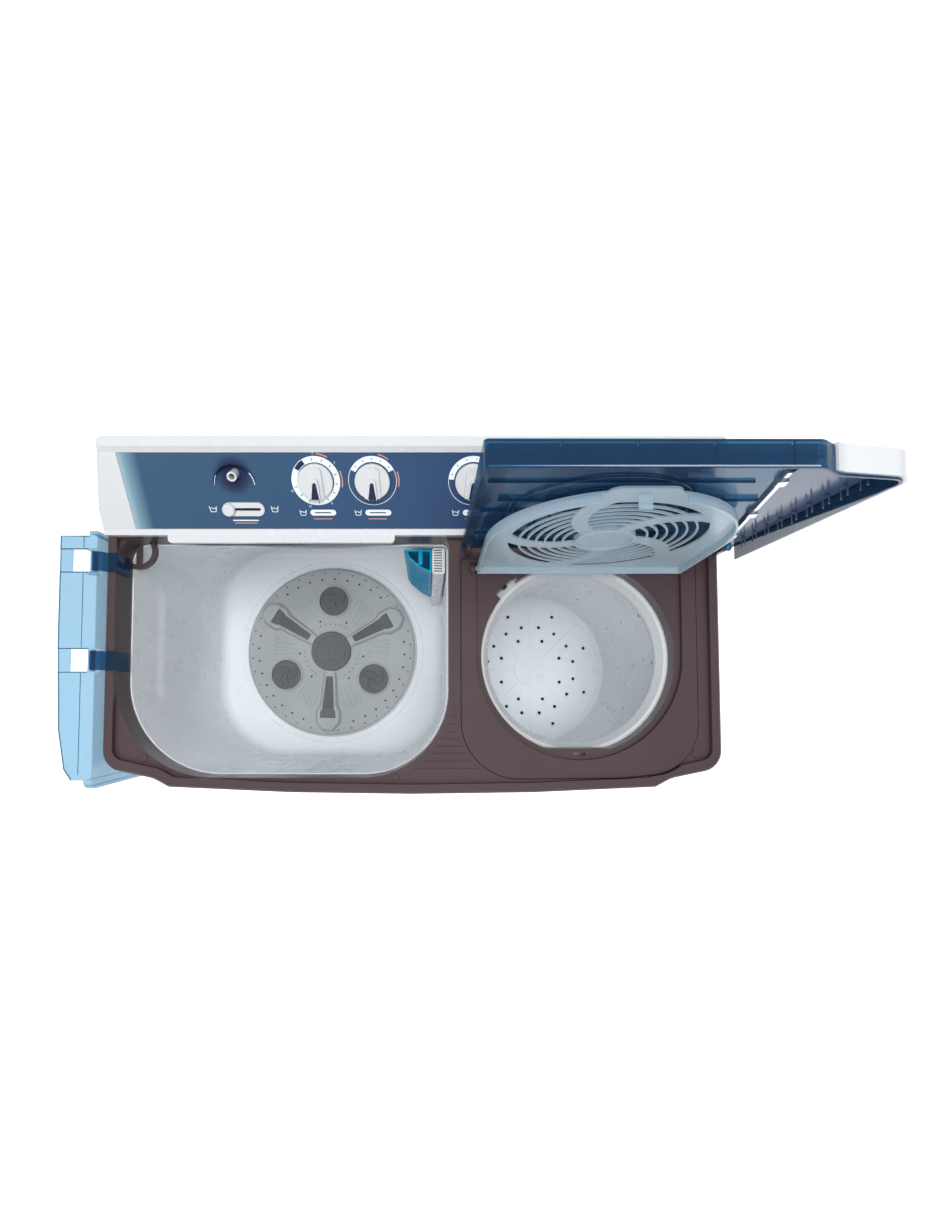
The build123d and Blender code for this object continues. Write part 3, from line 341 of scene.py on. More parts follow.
solid_finish("print salmon", (0.62, 0.26, 0.20), 0.36, 0.05, 900, 0.05)
print("finishes", len(finishes))


# %% [markdown]
# ## Colours that follow the part
# The console's fascia fades from steel blue on the left to navy on the right. A pale strip
# along its left edge is a painted sheen, and painted shade darkens the scoop behind the water
# spout. The lint filter is a woven blue mesh. Both come from
# the object's own coordinates, in metres.

# %% Fascia and filter colours
SPOUT = Vector((-0.241, 0.195, 0.979))


def fascia_color_with_painted_light(tree, where):
    split = add(tree, "ShaderNodeSeparateXYZ")
    tree.links.new(where, split.inputs["Vector"])
    across = add(tree, "ShaderNodeMapRange")
    across.inputs["From Min"].default_value = -0.392
    across.inputs["From Max"].default_value = 0.385
    tree.links.new(split.outputs["X"], across.inputs["Value"])
    # steel blue to navy across the fascia; the first two stops are a painted sheen, a pale strip at
    # the left edge
    blue = ramp(tree, across.outputs["Result"],
                [(0.0, (0.34, 0.48, 0.55)), (0.012, (0.17, 0.29, 0.38)),
                 (0.034, (0.034, 0.090, 0.165)), (0.42, (0.030, 0.075, 0.165)),
                 (1.0, (0.026, 0.040, 0.120))])
    # painted shade: the colour turns dark navy within about 31 mm of the spout, filling the scoop's
    # hollow
    gap = add(tree, "ShaderNodeVectorMath", operation="DISTANCE")
    gap.inputs[1].default_value = SPOUT
    tree.links.new(where, gap.inputs[0])
    near = add(tree, "ShaderNodeMapRange")
    near.interpolation_type = "SMOOTHSTEP"
    near.inputs["From Min"].default_value = 0.014
    near.inputs["From Max"].default_value = 0.031
    tree.links.new(gap.outputs["Value"], near.inputs["Value"])
    mix = add(tree, "ShaderNodeMix", data_type="RGBA")
    mix.inputs[6].default_value = (0.012, 0.020, 0.068, 1)
    tree.links.new(near.outputs["Result"], mix.inputs[0])
    tree.links.new(blue, mix.inputs[7])
    return mix.outputs[2]


def mesh_color(tree, where):
    weave = add(tree, "ShaderNodeTexVoronoi", feature="DISTANCE_TO_EDGE")
    weave.inputs["Scale"].default_value = 420
    tree.links.new(where, weave.inputs["Vector"])
    return ramp(tree, weave.outputs["Distance"],
                [(0.0, (0.0, 0.34, 0.56)), (0.25, (0.0, 0.20, 0.38)), (0.7, (0.0, 0.10, 0.22))])


solid_finish("fascia", (0.03, 0.08, 0.17), 0.42, grain=900, bump=0.05, coat=0.0,
             color_fn=fascia_color_with_painted_light)
solid_finish("filter mesh", (0.0, 0.2, 0.36), 0.35, grain=600, bump=0.35, color_fn=mesh_color)
print("patterned finishes", 2)


# %% [markdown]
# ## Tinted clear plastic
# The lids are tinted and clear. Light passes through with the tint's colour, and a glossy skin
# of pigment lies over it. The share of skin rises at grazing angles, where more plastic lies
# along the line of sight, so edges and ribs read darker, as on the real lids.

# %% Clear finishes
def clear_finish(name, tint, skin, share, edge, rough=0.12, drift=0.08):
    material = solid_finish(name, skin, rough, drift, 500, 0.08)
    tree = material.node_tree
    shader = tree.nodes["Principled BSDF"]
    out = tree.nodes["Material Output"]
    through = add(tree, "ShaderNodeBsdfTransparent")
    through.inputs["Color"].default_value = (*tint, 1)
    facing = add(tree, "ShaderNodeLayerWeight")
    facing.inputs["Blend"].default_value = 0.35
    amount = add(tree, "ShaderNodeMapRange")
    amount.inputs["To Min"].default_value = share
    amount.inputs["To Max"].default_value = edge
    tree.links.new(facing.outputs["Facing"], amount.inputs["Value"])
    mix = add(tree, "ShaderNodeMixShader")
    tree.links.new(amount.outputs["Result"], mix.inputs["Fac"])
    tree.links.new(through.outputs["BSDF"], mix.inputs[1])
    tree.links.new(shader.outputs["BSDF"], mix.inputs[2])
    tree.links.new(mix.outputs["Shader"], out.inputs["Surface"])
    return material


clear_finish("light blue clear", (0.71, 0.86, 0.94), (0.10, 0.25, 0.40), 0.28, 0.75)
clear_finish("dark blue clear", (0.36, 0.62, 0.80), (0.018, 0.060, 0.130), 0.38, 0.90)
clear_finish("slate clear", (0.45, 0.52, 0.70), (0.085, 0.125, 0.225), 0.80, 0.97)
clear_finish("milky clear", (0.84, 0.92, 0.97), (0.66, 0.79, 0.87), 0.42, 0.85, 0.2, 0.02)
print("clear finishes", 4)

# %% [markdown]
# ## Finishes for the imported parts
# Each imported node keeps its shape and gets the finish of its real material. A table says
# which, and the slot is set on the object so the mesh itself stays as it was packed.

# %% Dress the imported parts
WEARS = {
    "deck": ["deck_frame", "deck_screw_caps", "spin_deck_insert", "hose_ring"],
    "cabinet paint": ["cabinet_shell"],
    "white plastic": ["filter_housing", "spin_outer_tub", "balance_ring", "console_housing",
                      "panel_dials", "water_selector_track", "water_selector_knob",
                      "inlet_nozzle", "wash_timer_knob", "wash_selector_knob",
                      "drain_selector_knob", "spin_timer_knob", "spin_lid_trim"],
    "tub plastic": ["wash_tub", "spin_basket"],
    "pulsator grey": ["pulsator"],
    "pulsator dark": ["pulsator_inserts", "pulsator_cap"],
    "tray grey": ["base_tray", "drain_valve_body", "drain_outlet", "wash_timer_unit",
                  "wash_selector_switch", "drain_selector_cam", "spin_timer_unit"],
    "black plastic": ["interlock_switch"],
    "zinc sheet": ["back_cover", "drive_plate"],
    "machined steel": ["back_cover_screws", "motor_springs", "spin_shaft", "brake_lever"],
    "cast iron": ["wash_motor", "spin_motor", "brake_drum"],
    "bare alloy": ["gearbox_housing", "gearbox_pulley", "motor_pulley", "capacitor"],
    "black rubber": ["feet", "drive_belt", "shaft_bellows", "drain_valve_plunger",
                     "cord_gland"],
    "grey rubber": ["drain_hose"],
    "fascia": ["control_panel"],
    "filter mesh": ["lint_filter"],
    "bright trim": ["spin_lid_seam"],
    "light blue clear": ["wash_lid"],
    "dark blue clear": ["spin_lid_tray", "wash_lid_brackets"],
    "milky clear": ["inner_lid"],
}
for finish, names in WEARS.items():
    for name in names:
        for slot in nodes[name].material_slots:
            slot.link = "OBJECT"
            slot.material = finishes[finish]
dressed = sum(len(names) for names in WEARS.values())
print("dressed", dressed, "of", len(nodes))


# %% [markdown]
# ## Repeating with Geometry Nodes
# Screw rows, dots, ribs and slats are one small shape repeated by a rule. Two node trees do
# that: one sets copies round a circle, the other along a straight step. Each ends with real
# geometry and one finish. The result is read back as a plain mesh.

# %% Two repeating trees
def new_tree(name, sizes):
    tree = bpy.data.node_groups.new(name, "GeometryNodeTree")
    kinds = {"Item": "NodeSocketObject", "Count": "NodeSocketInt", "Finish": "NodeSocketMaterial",
             "Centre": "NodeSocketVector", "First": "NodeSocketVector",
             "Step by": "NodeSocketVector"}
    for label in ["Item", "Count"] + sizes + ["Finish"]:
        tree.interface.new_socket(label, in_out="INPUT",
                                  socket_type=kinds.get(label, "NodeSocketFloat"))
    tree.interface.new_socket("Geometry", in_out="OUTPUT", socket_type="NodeSocketGeometry")
    source = add(tree, "NodeGroupInput")
    drain = add(tree, "NodeGroupOutput")
    return tree, source, drain


def finish_tree(tree, source, drain, spot, turn=None):
    cloud = add(tree, "GeometryNodePoints")
    item = add(tree, "GeometryNodeObjectInfo")
    copies = add(tree, "GeometryNodeInstanceOnPoints")
    real = add(tree, "GeometryNodeRealizeInstances")
    paint = add(tree, "GeometryNodeSetMaterial")
    link = tree.links.new
    link(source.outputs["Count"], cloud.inputs["Count"])
    link(spot, cloud.inputs["Position"])
    link(source.outputs["Item"], item.inputs["Object"])
    link(cloud.outputs[0], copies.inputs["Points"])
    link(item.outputs["Geometry"], copies.inputs["Instance"])
    if turn:
        link(turn, copies.inputs["Rotation"])
    link(copies.outputs["Instances"], real.inputs["Geometry"])
    link(real.outputs["Geometry"], paint.inputs["Geometry"])
    link(source.outputs["Finish"], paint.inputs["Material"])
    link(paint.outputs["Geometry"], drain.inputs["Geometry"])
    return tree


def maths(tree, operation, a, b=None):
    node = add(tree, "ShaderNodeMath", operation=operation)
    for i, value in enumerate((a, b)):
        if value is None:
            continue
        if isinstance(value, (int, float)):
            node.inputs[i].default_value = value
        else:
            tree.links.new(value, node.inputs[i])
    return node.outputs["Value"]


def circle_tree():
    tree, source, drain = new_tree("copies round a circle", ["Radius", "Start", "Step", "Centre"])
    index = add(tree, "GeometryNodeInputIndex").outputs["Index"]
    angle = maths(tree, "ADD", maths(tree, "MULTIPLY", index, source.outputs["Step"]),
                  source.outputs["Start"])
    across = maths(tree, "MULTIPLY", maths(tree, "COSINE", angle), source.outputs["Radius"])
    along = maths(tree, "MULTIPLY", maths(tree, "SINE", angle), source.outputs["Radius"])
    out = add(tree, "ShaderNodeCombineXYZ")
    tree.links.new(across, out.inputs["X"])
    tree.links.new(along, out.inputs["Y"])
    spot = add(tree, "ShaderNodeVectorMath", operation="ADD")
    tree.links.new(out.outputs["Vector"], spot.inputs[0])
    tree.links.new(source.outputs["Centre"], spot.inputs[1])
    turn = add(tree, "ShaderNodeCombineXYZ")
    tree.links.new(angle, turn.inputs["Z"])
    return finish_tree(tree, source, drain, spot.outputs["Vector"], turn.outputs["Vector"])


def line_tree():
    tree, source, drain = new_tree("copies along a line", ["First", "Step by"])
    index = add(tree, "GeometryNodeInputIndex").outputs["Index"]
    scaled = add(tree, "ShaderNodeVectorMath", operation="SCALE")
    tree.links.new(source.outputs["Step by"], scaled.inputs[0])
    tree.links.new(index, scaled.inputs["Scale"])
    spot = add(tree, "ShaderNodeVectorMath", operation="ADD")
    tree.links.new(scaled.outputs["Vector"], spot.inputs[0])
    tree.links.new(source.outputs["First"], spot.inputs[1])
    return finish_tree(tree, source, drain, spot.outputs["Vector"])


CIRCLE, LINE = circle_tree(), line_tree()


def repeated(tree, item, finish, **sizes):
    """Runs a repeating tree on one (points, faces) item, and gives back a plain mesh."""
    model = bpy.data.objects.new("model", make_mesh("model", *item))
    host = bpy.data.objects.new("host", bpy.data.meshes.new("host"))
    for thing in (model, host):
        bpy.context.scene.collection.objects.link(thing)
    modifier = host.modifiers.new("repeat", "NODES")
    modifier.node_group = tree
    values = {"Item": model, "Finish": finish, **sizes}
    for socket in tree.interface.items_tree:
        if socket.in_out == "INPUT" and socket.name in values:
            modifier[socket.identifier] = values[socket.name]
    bpy.context.view_layer.update()
    graph = bpy.context.evaluated_depsgraph_get()
    mesh = bpy.data.meshes.new_from_object(host.evaluated_get(graph))
    host.modifiers.remove(modifier)
    for thing in (host, model):
        bpy.data.objects.remove(thing)
    return mesh


def gathered(name, meshes, body, slot):
    """Joins repeated meshes into one piece on one body."""
    points, faces = [], []
    for mesh in meshes:
        base = len(points)
        points += [tuple(v.co / MM) for v in mesh.vertices]
        faces += [tuple(base + i for i in p.vertices) for p in mesh.polygons]
    finish = next(material for material in meshes[0].materials if material)
    made = piece(name, points, faces, body, slot, finish)
    print(name, "faces", len(made.data.polygons))
    return made


def round_copies(item, finish, count, radius, start, step, centre):
    return repeated(CIRCLE, item, finish, Count=count, Radius=radius * MM,
                    Start=math.radians(start), Step=math.radians(step),
                    Centre=tuple(c * MM for c in centre))


def line_copies(item, finish, count, first, step):
    return repeated(LINE, item, finish, Count=count, First=tuple(c * MM for c in first),
                    **{"Step by": tuple(c * MM for c in step)})


print("trees", CIRCLE.name, "/", LINE.name)

# %% [markdown]
# ## The wash tub
# The real tub is one moulding: straight drafted walls, a soft corner all round the floor, a
# raised seat round the pulsator, faint vertical ribs and a shallow panel in the wall. The
# packed tub is a plain hollow, so a smoother one takes its place. It is built by a rule:
# rings of points round the pulsator's axis, from the bore out over the floor and up the wall.

# %% Outlines of the tub at its floor and its mouth
def rounded_outline(x0, x1, y0, y1, radii, per_corner=40):
    """Rectangle with a radius for each corner: left back, left front, right front, right back."""
    corners = [(x0, y1, 1, -1, 90), (x0, y0, 1, 1, 180), (x1, y0, -1, 1, 270), (x1, y1, -1, -1, 0)]
    points = []
    for (x, y, sx, sy, start), r in zip(corners, radii):
        cx, cy = x + sx * r, y + sy * r
        for k in range(per_corner + 1):
            a = math.radians(start + 90 * k / per_corner)
            points.append((cx + r * math.cos(a), cy + r * math.sin(a)))
    return points


def reach(outline, x, y, angles):
    """Distance from (x, y) to a closed outline in each direction."""
    found = []
    for a in angles:
        dx, dy = math.cos(a), math.sin(a)
        best = None
        for i in range(len(outline)):
            ax, ay = outline[i][0] - x, outline[i][1] - y
            bx = outline[(i + 1) % len(outline)][0] - x - ax
            by = outline[(i + 1) % len(outline)][1] - y - ay
            den = dx * by - dy * bx
            if abs(den) < 1e-9:
                continue
            t = (ax * by - ay * bx) / den
            u = (ax * dy - ay * dx) / den
            if t > 0 and -1e-6 <= u <= 1 + 1e-6 and (best is None or t > best):
                best = t
        found.append(best)
    return found


TUB_X, TUB_Y = -175.6, -8.8
TUB_FLOOR, TUB_MOUTH = 525.0, 874.6
AROUND = 480
ANGLES = [2 * math.pi * k / AROUND for k in range(AROUND)]
mouth = reach(rounded_outline(-423, 50.5, -217, 126, [26, 138, 123, 7]), TUB_X, TUB_Y, ANGLES)
base = reach(rounded_outline(-402, 51, -222, 208, [110, 140, 125, 60]), TUB_X, TUB_Y, ANGLES)
print("tub outline", AROUND, "points, floor reach", round(min(base)), "to", round(max(base)))


# %% The tub's skin
def smooth(low, high, value):
    t = min(max((value - low) / (high - low), 0.0), 1.0)
    return t * t * (3 - 2 * t)


def wall_relief(x, y, z):
    """How far the wall stands in from its plain surface, in mm."""
    relief = 0.0
    height = smooth(575, 610, z) * (1 - smooth(835, 855, z))
    if x < -330:
        for rib in (-130, -88, -46, -4, 38, 80):
            relief += 1.3 * math.exp(-((y - rib - (z - 700) * 0.03) / 3.2) ** 2) * height
        across = smooth(-118, -96, y) * (1 - smooth(58, 80, y))
        relief += 2.6 * across * smooth(640, 655, z) * (1 - smooth(785, 800, z))
    if y < -150:
        for rib in (-300, -255, -210, -165, -120, -75):
            relief += 1.1 * math.exp(-((x - rib) / 3.4) ** 2) * height
    return relief


def tub_rings():
    rings = []
    floor_profile = [(22, 0), (60, 0), (120, 0), (174.5, 0), (176.0, 2.6), (187.0, 2.6),
                     (188.6, 0.6), (190.0, 0)]
    for r, lift in floor_profile:
        rings.append([(TUB_X + r * math.cos(a), TUB_Y + r * math.sin(a), TUB_FLOOR + lift)
                      for a in ANGLES])
    soft = 20.0
    for step in range(1, 24):
        share = step / 24
        rings.append([(TUB_X + (190 + (b - soft - 190) * share) * math.cos(a),
                       TUB_Y + (190 + (b - soft - 190) * share) * math.sin(a), TUB_FLOOR)
                      for a, b in zip(ANGLES, base)])
    levels = [soft * (1 - math.cos(math.radians(t))) for t in (0, 15, 30, 45, 60, 75, 90)]
    top = TUB_MOUTH - TUB_FLOOR
    levels += [soft + (top - soft) * k / 44 for k in range(1, 45)]
    for h in levels:
        share = h / top
        inset = soft - math.sqrt(max(soft * soft - (soft - h) ** 2, 0)) if h < soft else 0.0
        ring = []
        for a, b, m in zip(ANGLES, base, mouth):
            r = b + (m - b) * share - inset
            x, y = TUB_X + r * math.cos(a), TUB_Y + r * math.sin(a)
            r -= wall_relief(x, y, TUB_FLOOR + h)
            ring.append((TUB_X + r * math.cos(a), TUB_Y + r * math.sin(a), TUB_FLOOR + h))
        rings.append(ring)
    return rings


rings = tub_rings()
outer = []
for ring in reversed(rings):
    grown = []
    for x, y, z in ring:
        gap = math.hypot(x - TUB_X, y - TUB_Y)
        out = 2.4 * smooth(190, 215, gap)
        grown.append((x + (x - TUB_X) / gap * out, y + (y - TUB_Y) / gap * out,
                      z - 2.2 * (1 - smooth(30, 120, z - TUB_FLOOR))))
    outer.append(grown)
everything = rings + outer
tub_points = [p for ring in everything for p in ring]
tub_faces = grid_faces(len(everything), AROUND)
last = (len(everything) - 1) * AROUND
tub_faces += [(last + i, last + (i + 1) % AROUND, (i + 1) % AROUND, i) for i in range(AROUND)]


# %% The drain's hole through the tub
DRAIN_X, DRAIN_Y, DRAIN_R = 10, 150, 16


def drain_hole(points, faces, rows):
    """Opens a round hole through both skins and walls it, so the shell stays closed."""
    half = rows // 2
    points = list(points)
    for i in range(half * AROUND):
        row, column = divmod(i, AROUND)
        other = (rows - 1 - row) * AROUND + column
        gap = math.hypot(points[i][0] - DRAIN_X, points[i][1] - DRAIN_Y)
        if abs(points[i][2] - TUB_FLOOR) < 0.1 and abs(gap - DRAIN_R) < 1.7:
            x = DRAIN_X + (points[i][0] - DRAIN_X) * DRAIN_R / gap
            y = DRAIN_Y + (points[i][1] - DRAIN_Y) * DRAIN_R / gap
            points[i] = (x, y, points[i][2])
            points[other] = (x, y, points[other][2])

    def mirror(i):
        return (rows - 1 - i // AROUND) * AROUND + i % AROUND

    # the inner skin decides, and the outer skin loses exactly the matching faces
    number = {frozenset(face): k for k, face in enumerate(faces)}
    gone, edges = set(), set()
    for k, face in enumerate(faces):
        if max(face) >= half * AROUND or max(points[i][2] for i in face) > TUB_FLOOR + 1:
            continue
        x = sum(points[i][0] for i in face) / 4 - DRAIN_X
        y = sum(points[i][1] for i in face) / 4 - DRAIN_Y
        if math.hypot(x, y) < DRAIN_R - 0.3:
            gone |= {k, number[frozenset(mirror(i) for i in face)]}
            edges |= {(face[n], face[(n + 1) % 4]) for n in range(4)}
    walls = [(i, j, mirror(j), mirror(i)) for i, j in edges if (j, i) not in edges]
    print("drain hole", len(gone), "faces out,", len(walls), "wall faces in")
    return points, [f for k, f in enumerate(faces) if k not in gone] + walls


tub_shape = drain_hole(*outward((tub_points, tub_faces)), len(everything))
sides = {}
for face in tub_shape[1]:
    for n in range(4):
        key = tuple(sorted((face[n], face[(n + 1) % 4])))
        sides[key] = sides.get(key, 0) + 1
print("open or crowded tub edges", sum(1 for uses in sides.values() if uses != 2))
tub_skin = piece("wash_tub_skin", *tub_shape, "cabinet", "tub_white",
                 finishes["tub plastic"], 50)
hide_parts("wash_tub")
print("tub rings", len(everything), "faces", len(tub_skin.data.polygons))

# %% [markdown]
# ## The pulsator's relief
# The wash plate carries rows of small holes, drawn as black dots of painted shade, embossed
# finger loops between its paddles, dark three-blade swirls in its cups and small bars round
# its cap. They are all one small shape
# set round a circle, which is what the first tree is for.

# %% Pulsator details
PADDLES = (28.0, 147.6, 267.6)
CUPS = (87.4, 207.6, 327.0)
PULSATOR = (TUB_X, TUB_Y)
PLATE_TOP, HUB_TOP, HOOP_TOP = 538.9, 540.9, 540.6    # heights of the plate's faces


def disc(radius, low, high, sides=12):
    ring = [(radius * math.cos(2 * math.pi * k / sides), radius * math.sin(2 * math.pi * k / sides))
            for k in range(sides)]
    return prism(ring, low, high)


def loop_path(length, width, count=7):
    """A long rounded loop lying along X."""
    half, r = length / 2 - width / 2, width / 2
    right = arc(half, 0, r, -90, 90, count)
    left = arc(-half, 0, r, 90, 270, count)
    return right + left


dark, grey = finishes["pulsator dark"], finishes["pulsator grey"]
# black dots standing in for the holes: painted shade where the plate is open
dot = disc(2.0, 0, 1.2, 10)
hole_shade_black = finishes["black plastic"]
dots = [round_copies(dot, hole_shade_black, 36, 163, 5, 10, (*PULSATOR, PLATE_TOP))]
for paddle in PADDLES:
    dots.append(round_copies(dot, hole_shade_black, 9, 150.5, paddle + 20, 10, (*PULSATOR, PLATE_TOP)))
for cup in CUPS:
    dots.append(round_copies(dot, hole_shade_black, 6, 55, cup - 27, 10.8, (*PULSATOR, HUB_TOP)))
    dots.append(round_copies(dot, hole_shade_black, 2, 66, cup - 24, 48, (*PULSATOR, HOOP_TOP)))
gathered("pulsator_holes", dots, "pulsator", "dark_plastic")
finger = outward(tube(loop_path(46, 8), 1.15, 6, True))
loops = []
for paddle in PADDLES:
    for side in (-25.4, 25.4):
        loops.append(round_copies(finger, grey, 3, 97, paddle + side - 7.4, 7.4,
                                  (*PULSATOR, 540.1)))
gathered("pulsator_loops", loops, "pulsator", "grey_plastic")

# %% Swirls and the cap's relief
def swirl_blade():
    """A curved blade from a disc's middle to its edge, thin at both ends."""
    points, rows = [], 11
    for i in range(rows):
        t = i / (rows - 1)
        a = math.radians(150 * t)
        r = 3 + 23 * t
        wide = 3.6 * math.sin(math.pi * min(t + 0.12, 1.0)) + 0.5
        mid = Vector((r * math.cos(a), r * math.sin(a), 0))
        along = Vector((-math.sin(a), math.cos(a), 0))
        side = Vector((math.cos(a + 0.5), math.sin(a + 0.5), 0))
        for offset, lift in ((-wide, 0.0), (-wide * 0.45, 1.7), (wide * 0.45, 1.7), (wide, 0.0)):
            p = mid + side * offset + Vector((0, 0, lift))
            points.append(tuple(p))
    faces = grid_faces(rows, 4, True) + [(3, 2, 1, 0)]
    top = (rows - 1) * 4
    faces.append((top, top + 1, top + 2, top + 3))
    return outward((points, faces))


blade = swirl_blade()
swirls, lips = [], []
for cup in CUPS:
    a = math.radians(cup)
    middle = (TUB_X + 104 * math.cos(a), TUB_Y + 104 * math.sin(a))
    swirls.append(round_copies(blade, dark, 3, 0.001, 20, 120, (*middle, 540.0)))
    ring_path = [(p[0], p[1], 544.0) for p in arc(*middle, 31.8, 0, 354, 60)]
    lips.append(tube(ring_path, 1.7, 8, True))
gathered("cup_swirls", swirls, "pulsator", "dark_plastic")
lips.append(tube([(p[0], p[1], 545.2) for p in arc(*PULSATOR, 41.6, 0, 355, 72)], 1.2, 8, True))
piece("cup_lips", *outward(join(lips)), "pulsator", "grey_plastic", grey)
bars = []
for k in range(3):
    turn = 120 * k
    bars.append(tube([(p[0], p[1], 553.1) for p in arc(*PULSATOR, 19, turn + 10, turn + 62, 9)],
                     0.9, 6))
    bars.append(tube([(p[0], p[1], 553.0) for p in arc(*PULSATOR, 8, turn - 40, turn + 20, 7)],
                     1.1, 6))
piece("cap_bars", *outward(join(bars)), "pulsator", "dark_plastic", dark)
print("cap bars", len(bars))

# %% [markdown]
# ## The spin basket's floor
# Low ribs split the basket's floor into eight sectors. Each sector's holes have a raised
# collar, and the middle carries a moulded flower of eight loops with small rings round it.

# %% Basket details
SPIN_X, SPIN_Y, BASKET = 239.5, -46.0, 508.0
BASKET_HOLES = ((66, 22.5), (92, 11.5), (92, 33.5), (122, 22.5))    # radius, first angle
spin_at = (SPIN_X, SPIN_Y, BASKET)
white = finishes["tub plastic"]
sector = outward(tube([(38, 0, 0), (90, 0, 0), (141, 0, 0)], 1.2, 6, flat=0.7))
collar = outward(tube(arc(0, 0, 4.3, 0, 330, 12), 0.9, 6, True))
petal = outward(tube([(p[0] + 19, p[1], 0) for p in loop_path(15, 8.5, 5)], 0.75, 6, True))
button = outward(tube(arc(0, 0, 3.2, 0, 324, 10), 0.7, 6, True))
relief = [round_copies(sector, white, 8, 0.001, 0, 45, spin_at)]
for radius, turn in BASKET_HOLES:
    relief.append(round_copies(collar, white, 8, radius, turn, 45, spin_at))
boss = (SPIN_X, SPIN_Y, BASKET + 5)
relief.append(round_copies(petal, white, 8, 0.001, 22.5, 45, boss))
relief.append(round_copies(button, white, 8, 30, 0, 45, boss))
relief.append(round_copies(button, white, 4, 4.6, 45, 90, boss))
gathered("basket_relief", relief, "spin_basket", "tub_white")
# dark discs under the holes: painted shadow seen through each hole in the basket's floor
hole_shadow_disc = disc(3.3, -3.4, -2.4, 12)
holes = []
for radius, turn in BASKET_HOLES:
    holes.append(round_copies(hole_shadow_disc, finishes["black plastic"], 8, radius, turn, 45, spin_at))
gathered("basket_hole_shadows", holes, "spin_basket", "dark_plastic")

# %% [markdown]
# ## The console's dials and prints
# White dial rings, minute marks, short printed pills and little tub signs are on the sloping
# fascia. They are drawn flat in the fascia's own plane, which one matrix lays on the slope.
# The knobs carry a dark tapered wedge that shows where they point.

# %% The fascia's plane
SLOPE = math.radians(35.5)
PANEL_FOOT = Vector((0, 133.4, 935.0))
PANEL = Matrix.Translation(PANEL_FOOT) @ Matrix.Rotation(SLOPE, 4, "X")
KNOBS = {"wash_timer": -130.0, "wash_selector": -53.0, "drain_selector": 83.0,
         "spin_timer": 160.0}
KNOB_V = 68.0
PRINT = (-0.4, -0.12)


def flat_bar(x0, y0, x1, y1, width, low, high):
    """A thin straight stroke between two points."""
    a, b = Vector((x0, y0)), Vector((x1, y1))
    side = (b - a).normalized().orthogonal() * width / 2
    return outward(prism([tuple(a + side), tuple(a - side), tuple(b - side), tuple(b + side)],
                         low, high))


def pill(x0, x1, y0, y1, low, high):
    r = (y1 - y0) / 2
    right = arc(x1 - r, y0 + r, r, -90, 90, 9)
    left = arc(x0 + r, y0 + r, r, 90, 270, 9)
    return outward(prism([(p[0], p[1]) for p in right + left], low, high))


print("fascia at", tuple(round(v, 1) for v in PANEL_FOOT))

# %% Dial rings
rings_white, marks_navy, marks_white = [], [], []
x = KNOBS["wash_timer"]
rings_white.append(outward(band(x, KNOB_V, 24.8, 33, 152, 152 - 318, -0.4, 0.1, 80)))
marks_navy.append(outward(band(x, KNOB_V, 25.6, 32.2, 148, 120, 0.1, 0.22, 12)))
rings_white.append(outward(band(x, KNOB_V, 24.8, 33, 194, 152, -0.4, 0.1, 14)))
for k in range(11):
    a = math.radians(96 - 26 * k)
    u, v = math.cos(a), math.sin(a)
    marks_navy.append(flat_bar(x + 27 * u, KNOB_V + 27 * v, x + 30.6 * u, KNOB_V + 30.6 * v,
                               1.0, 0.1, 0.22))
for name, low, high in (("wash_selector", 28, 152), ("drain_selector", 40, 176),
                        ("spin_timer", 20, 340)):
    x = KNOBS[name]
    rings_white.append(outward(band(x, KNOB_V, 25.4, 33, low, high, -0.4, 0.1, 40)))
    marks_white.append(outward(band(x, KNOB_V, 32.3, 33, high, low + 360, -0.4, -0.15, 60)))
    steps = 5
    for k in range(steps):
        a = math.radians(low + (high - low) * (k + 0.5) / steps)
        spot = (x + 29.2 * math.cos(a), KNOB_V + 29.2 * math.sin(a))
        marks_navy.append(moved(disc(0.9, 0.1, 0.22, 8), Matrix.Translation((*spot, 0))))
for x in (-126, -49, 87, 164):
    rings_white.append(pill(x - 16, x + 20, 20.2, 28.4, -0.4, 0.0))
    marks_navy.append(flat_bar(x - 10, 24.3, x + 13, 24.3, 1.5, 0.0, 0.12))
dial_rings = piece("dial_rings", *moved(join(rings_white), PANEL), "cabinet", "white_plastic",
                   finishes["print white"])
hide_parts("panel_dials")
print("dial rings", len(rings_white))


# %% Tub signs and scale strokes
def tub_sign(x, y, size):
    """A little open tub with a wave in it."""
    w, h = size, size * 0.8
    strokes = [(x - w, y + h, x - w * 0.7, y - h), (x - w * 0.7, y - h, x + w * 0.7, y - h),
               (x + w * 0.7, y - h, x + w, y + h), (x - w * 0.85, y, x - w * 0.3, y + h * 0.5),
               (x - w * 0.3, y + h * 0.5, x + w * 0.3, y),
               (x + w * 0.3, y, x + w * 0.85, y + h * 0.5)]
    return [flat_bar(*s, 0.9, *PRINT) for s in strokes]


for x in (-152, -75, 61, 138):
    marks_white += tub_sign(x, 24.3, 4.6)
for x in (-277, -191):
    marks_white += tub_sign(x, 29.5, 5.0)
marks_white.append(flat_bar(-252, 13.2, -216, 13.2, 1.6, *PRINT))
piece("fascia_marks", *moved(join(marks_white), PANEL), "cabinet", "white_plastic",
      finishes["print white"])
piece("dial_marks", *moved(join(marks_navy), PANEL), "cabinet", "panel_blue",
      finishes["print navy"])
salmon = [flat_bar(-250, 9.4, -218, 9.4, 1.3, *PRINT)]
for x in (-126, -49, 87, 164):
    salmon.append(flat_bar(x - 12, 15.4, x + 14, 15.4, 1.4, *PRINT))
for x, low, high in ((-130, 84, 60), (-130, 22, -14), (-53, 76, 52), (-53, 20, -12)):
    salmon.append(outward(band(x, KNOB_V, 35.2, 36.8, low, high, -0.4, -0.12, 10)))
piece("fascia_second_marks", *moved(join(salmon), PANEL), "cabinet", "panel_blue",
      finishes["print salmon"])
print("marks", len(marks_white) + len(marks_navy) + len(salmon))

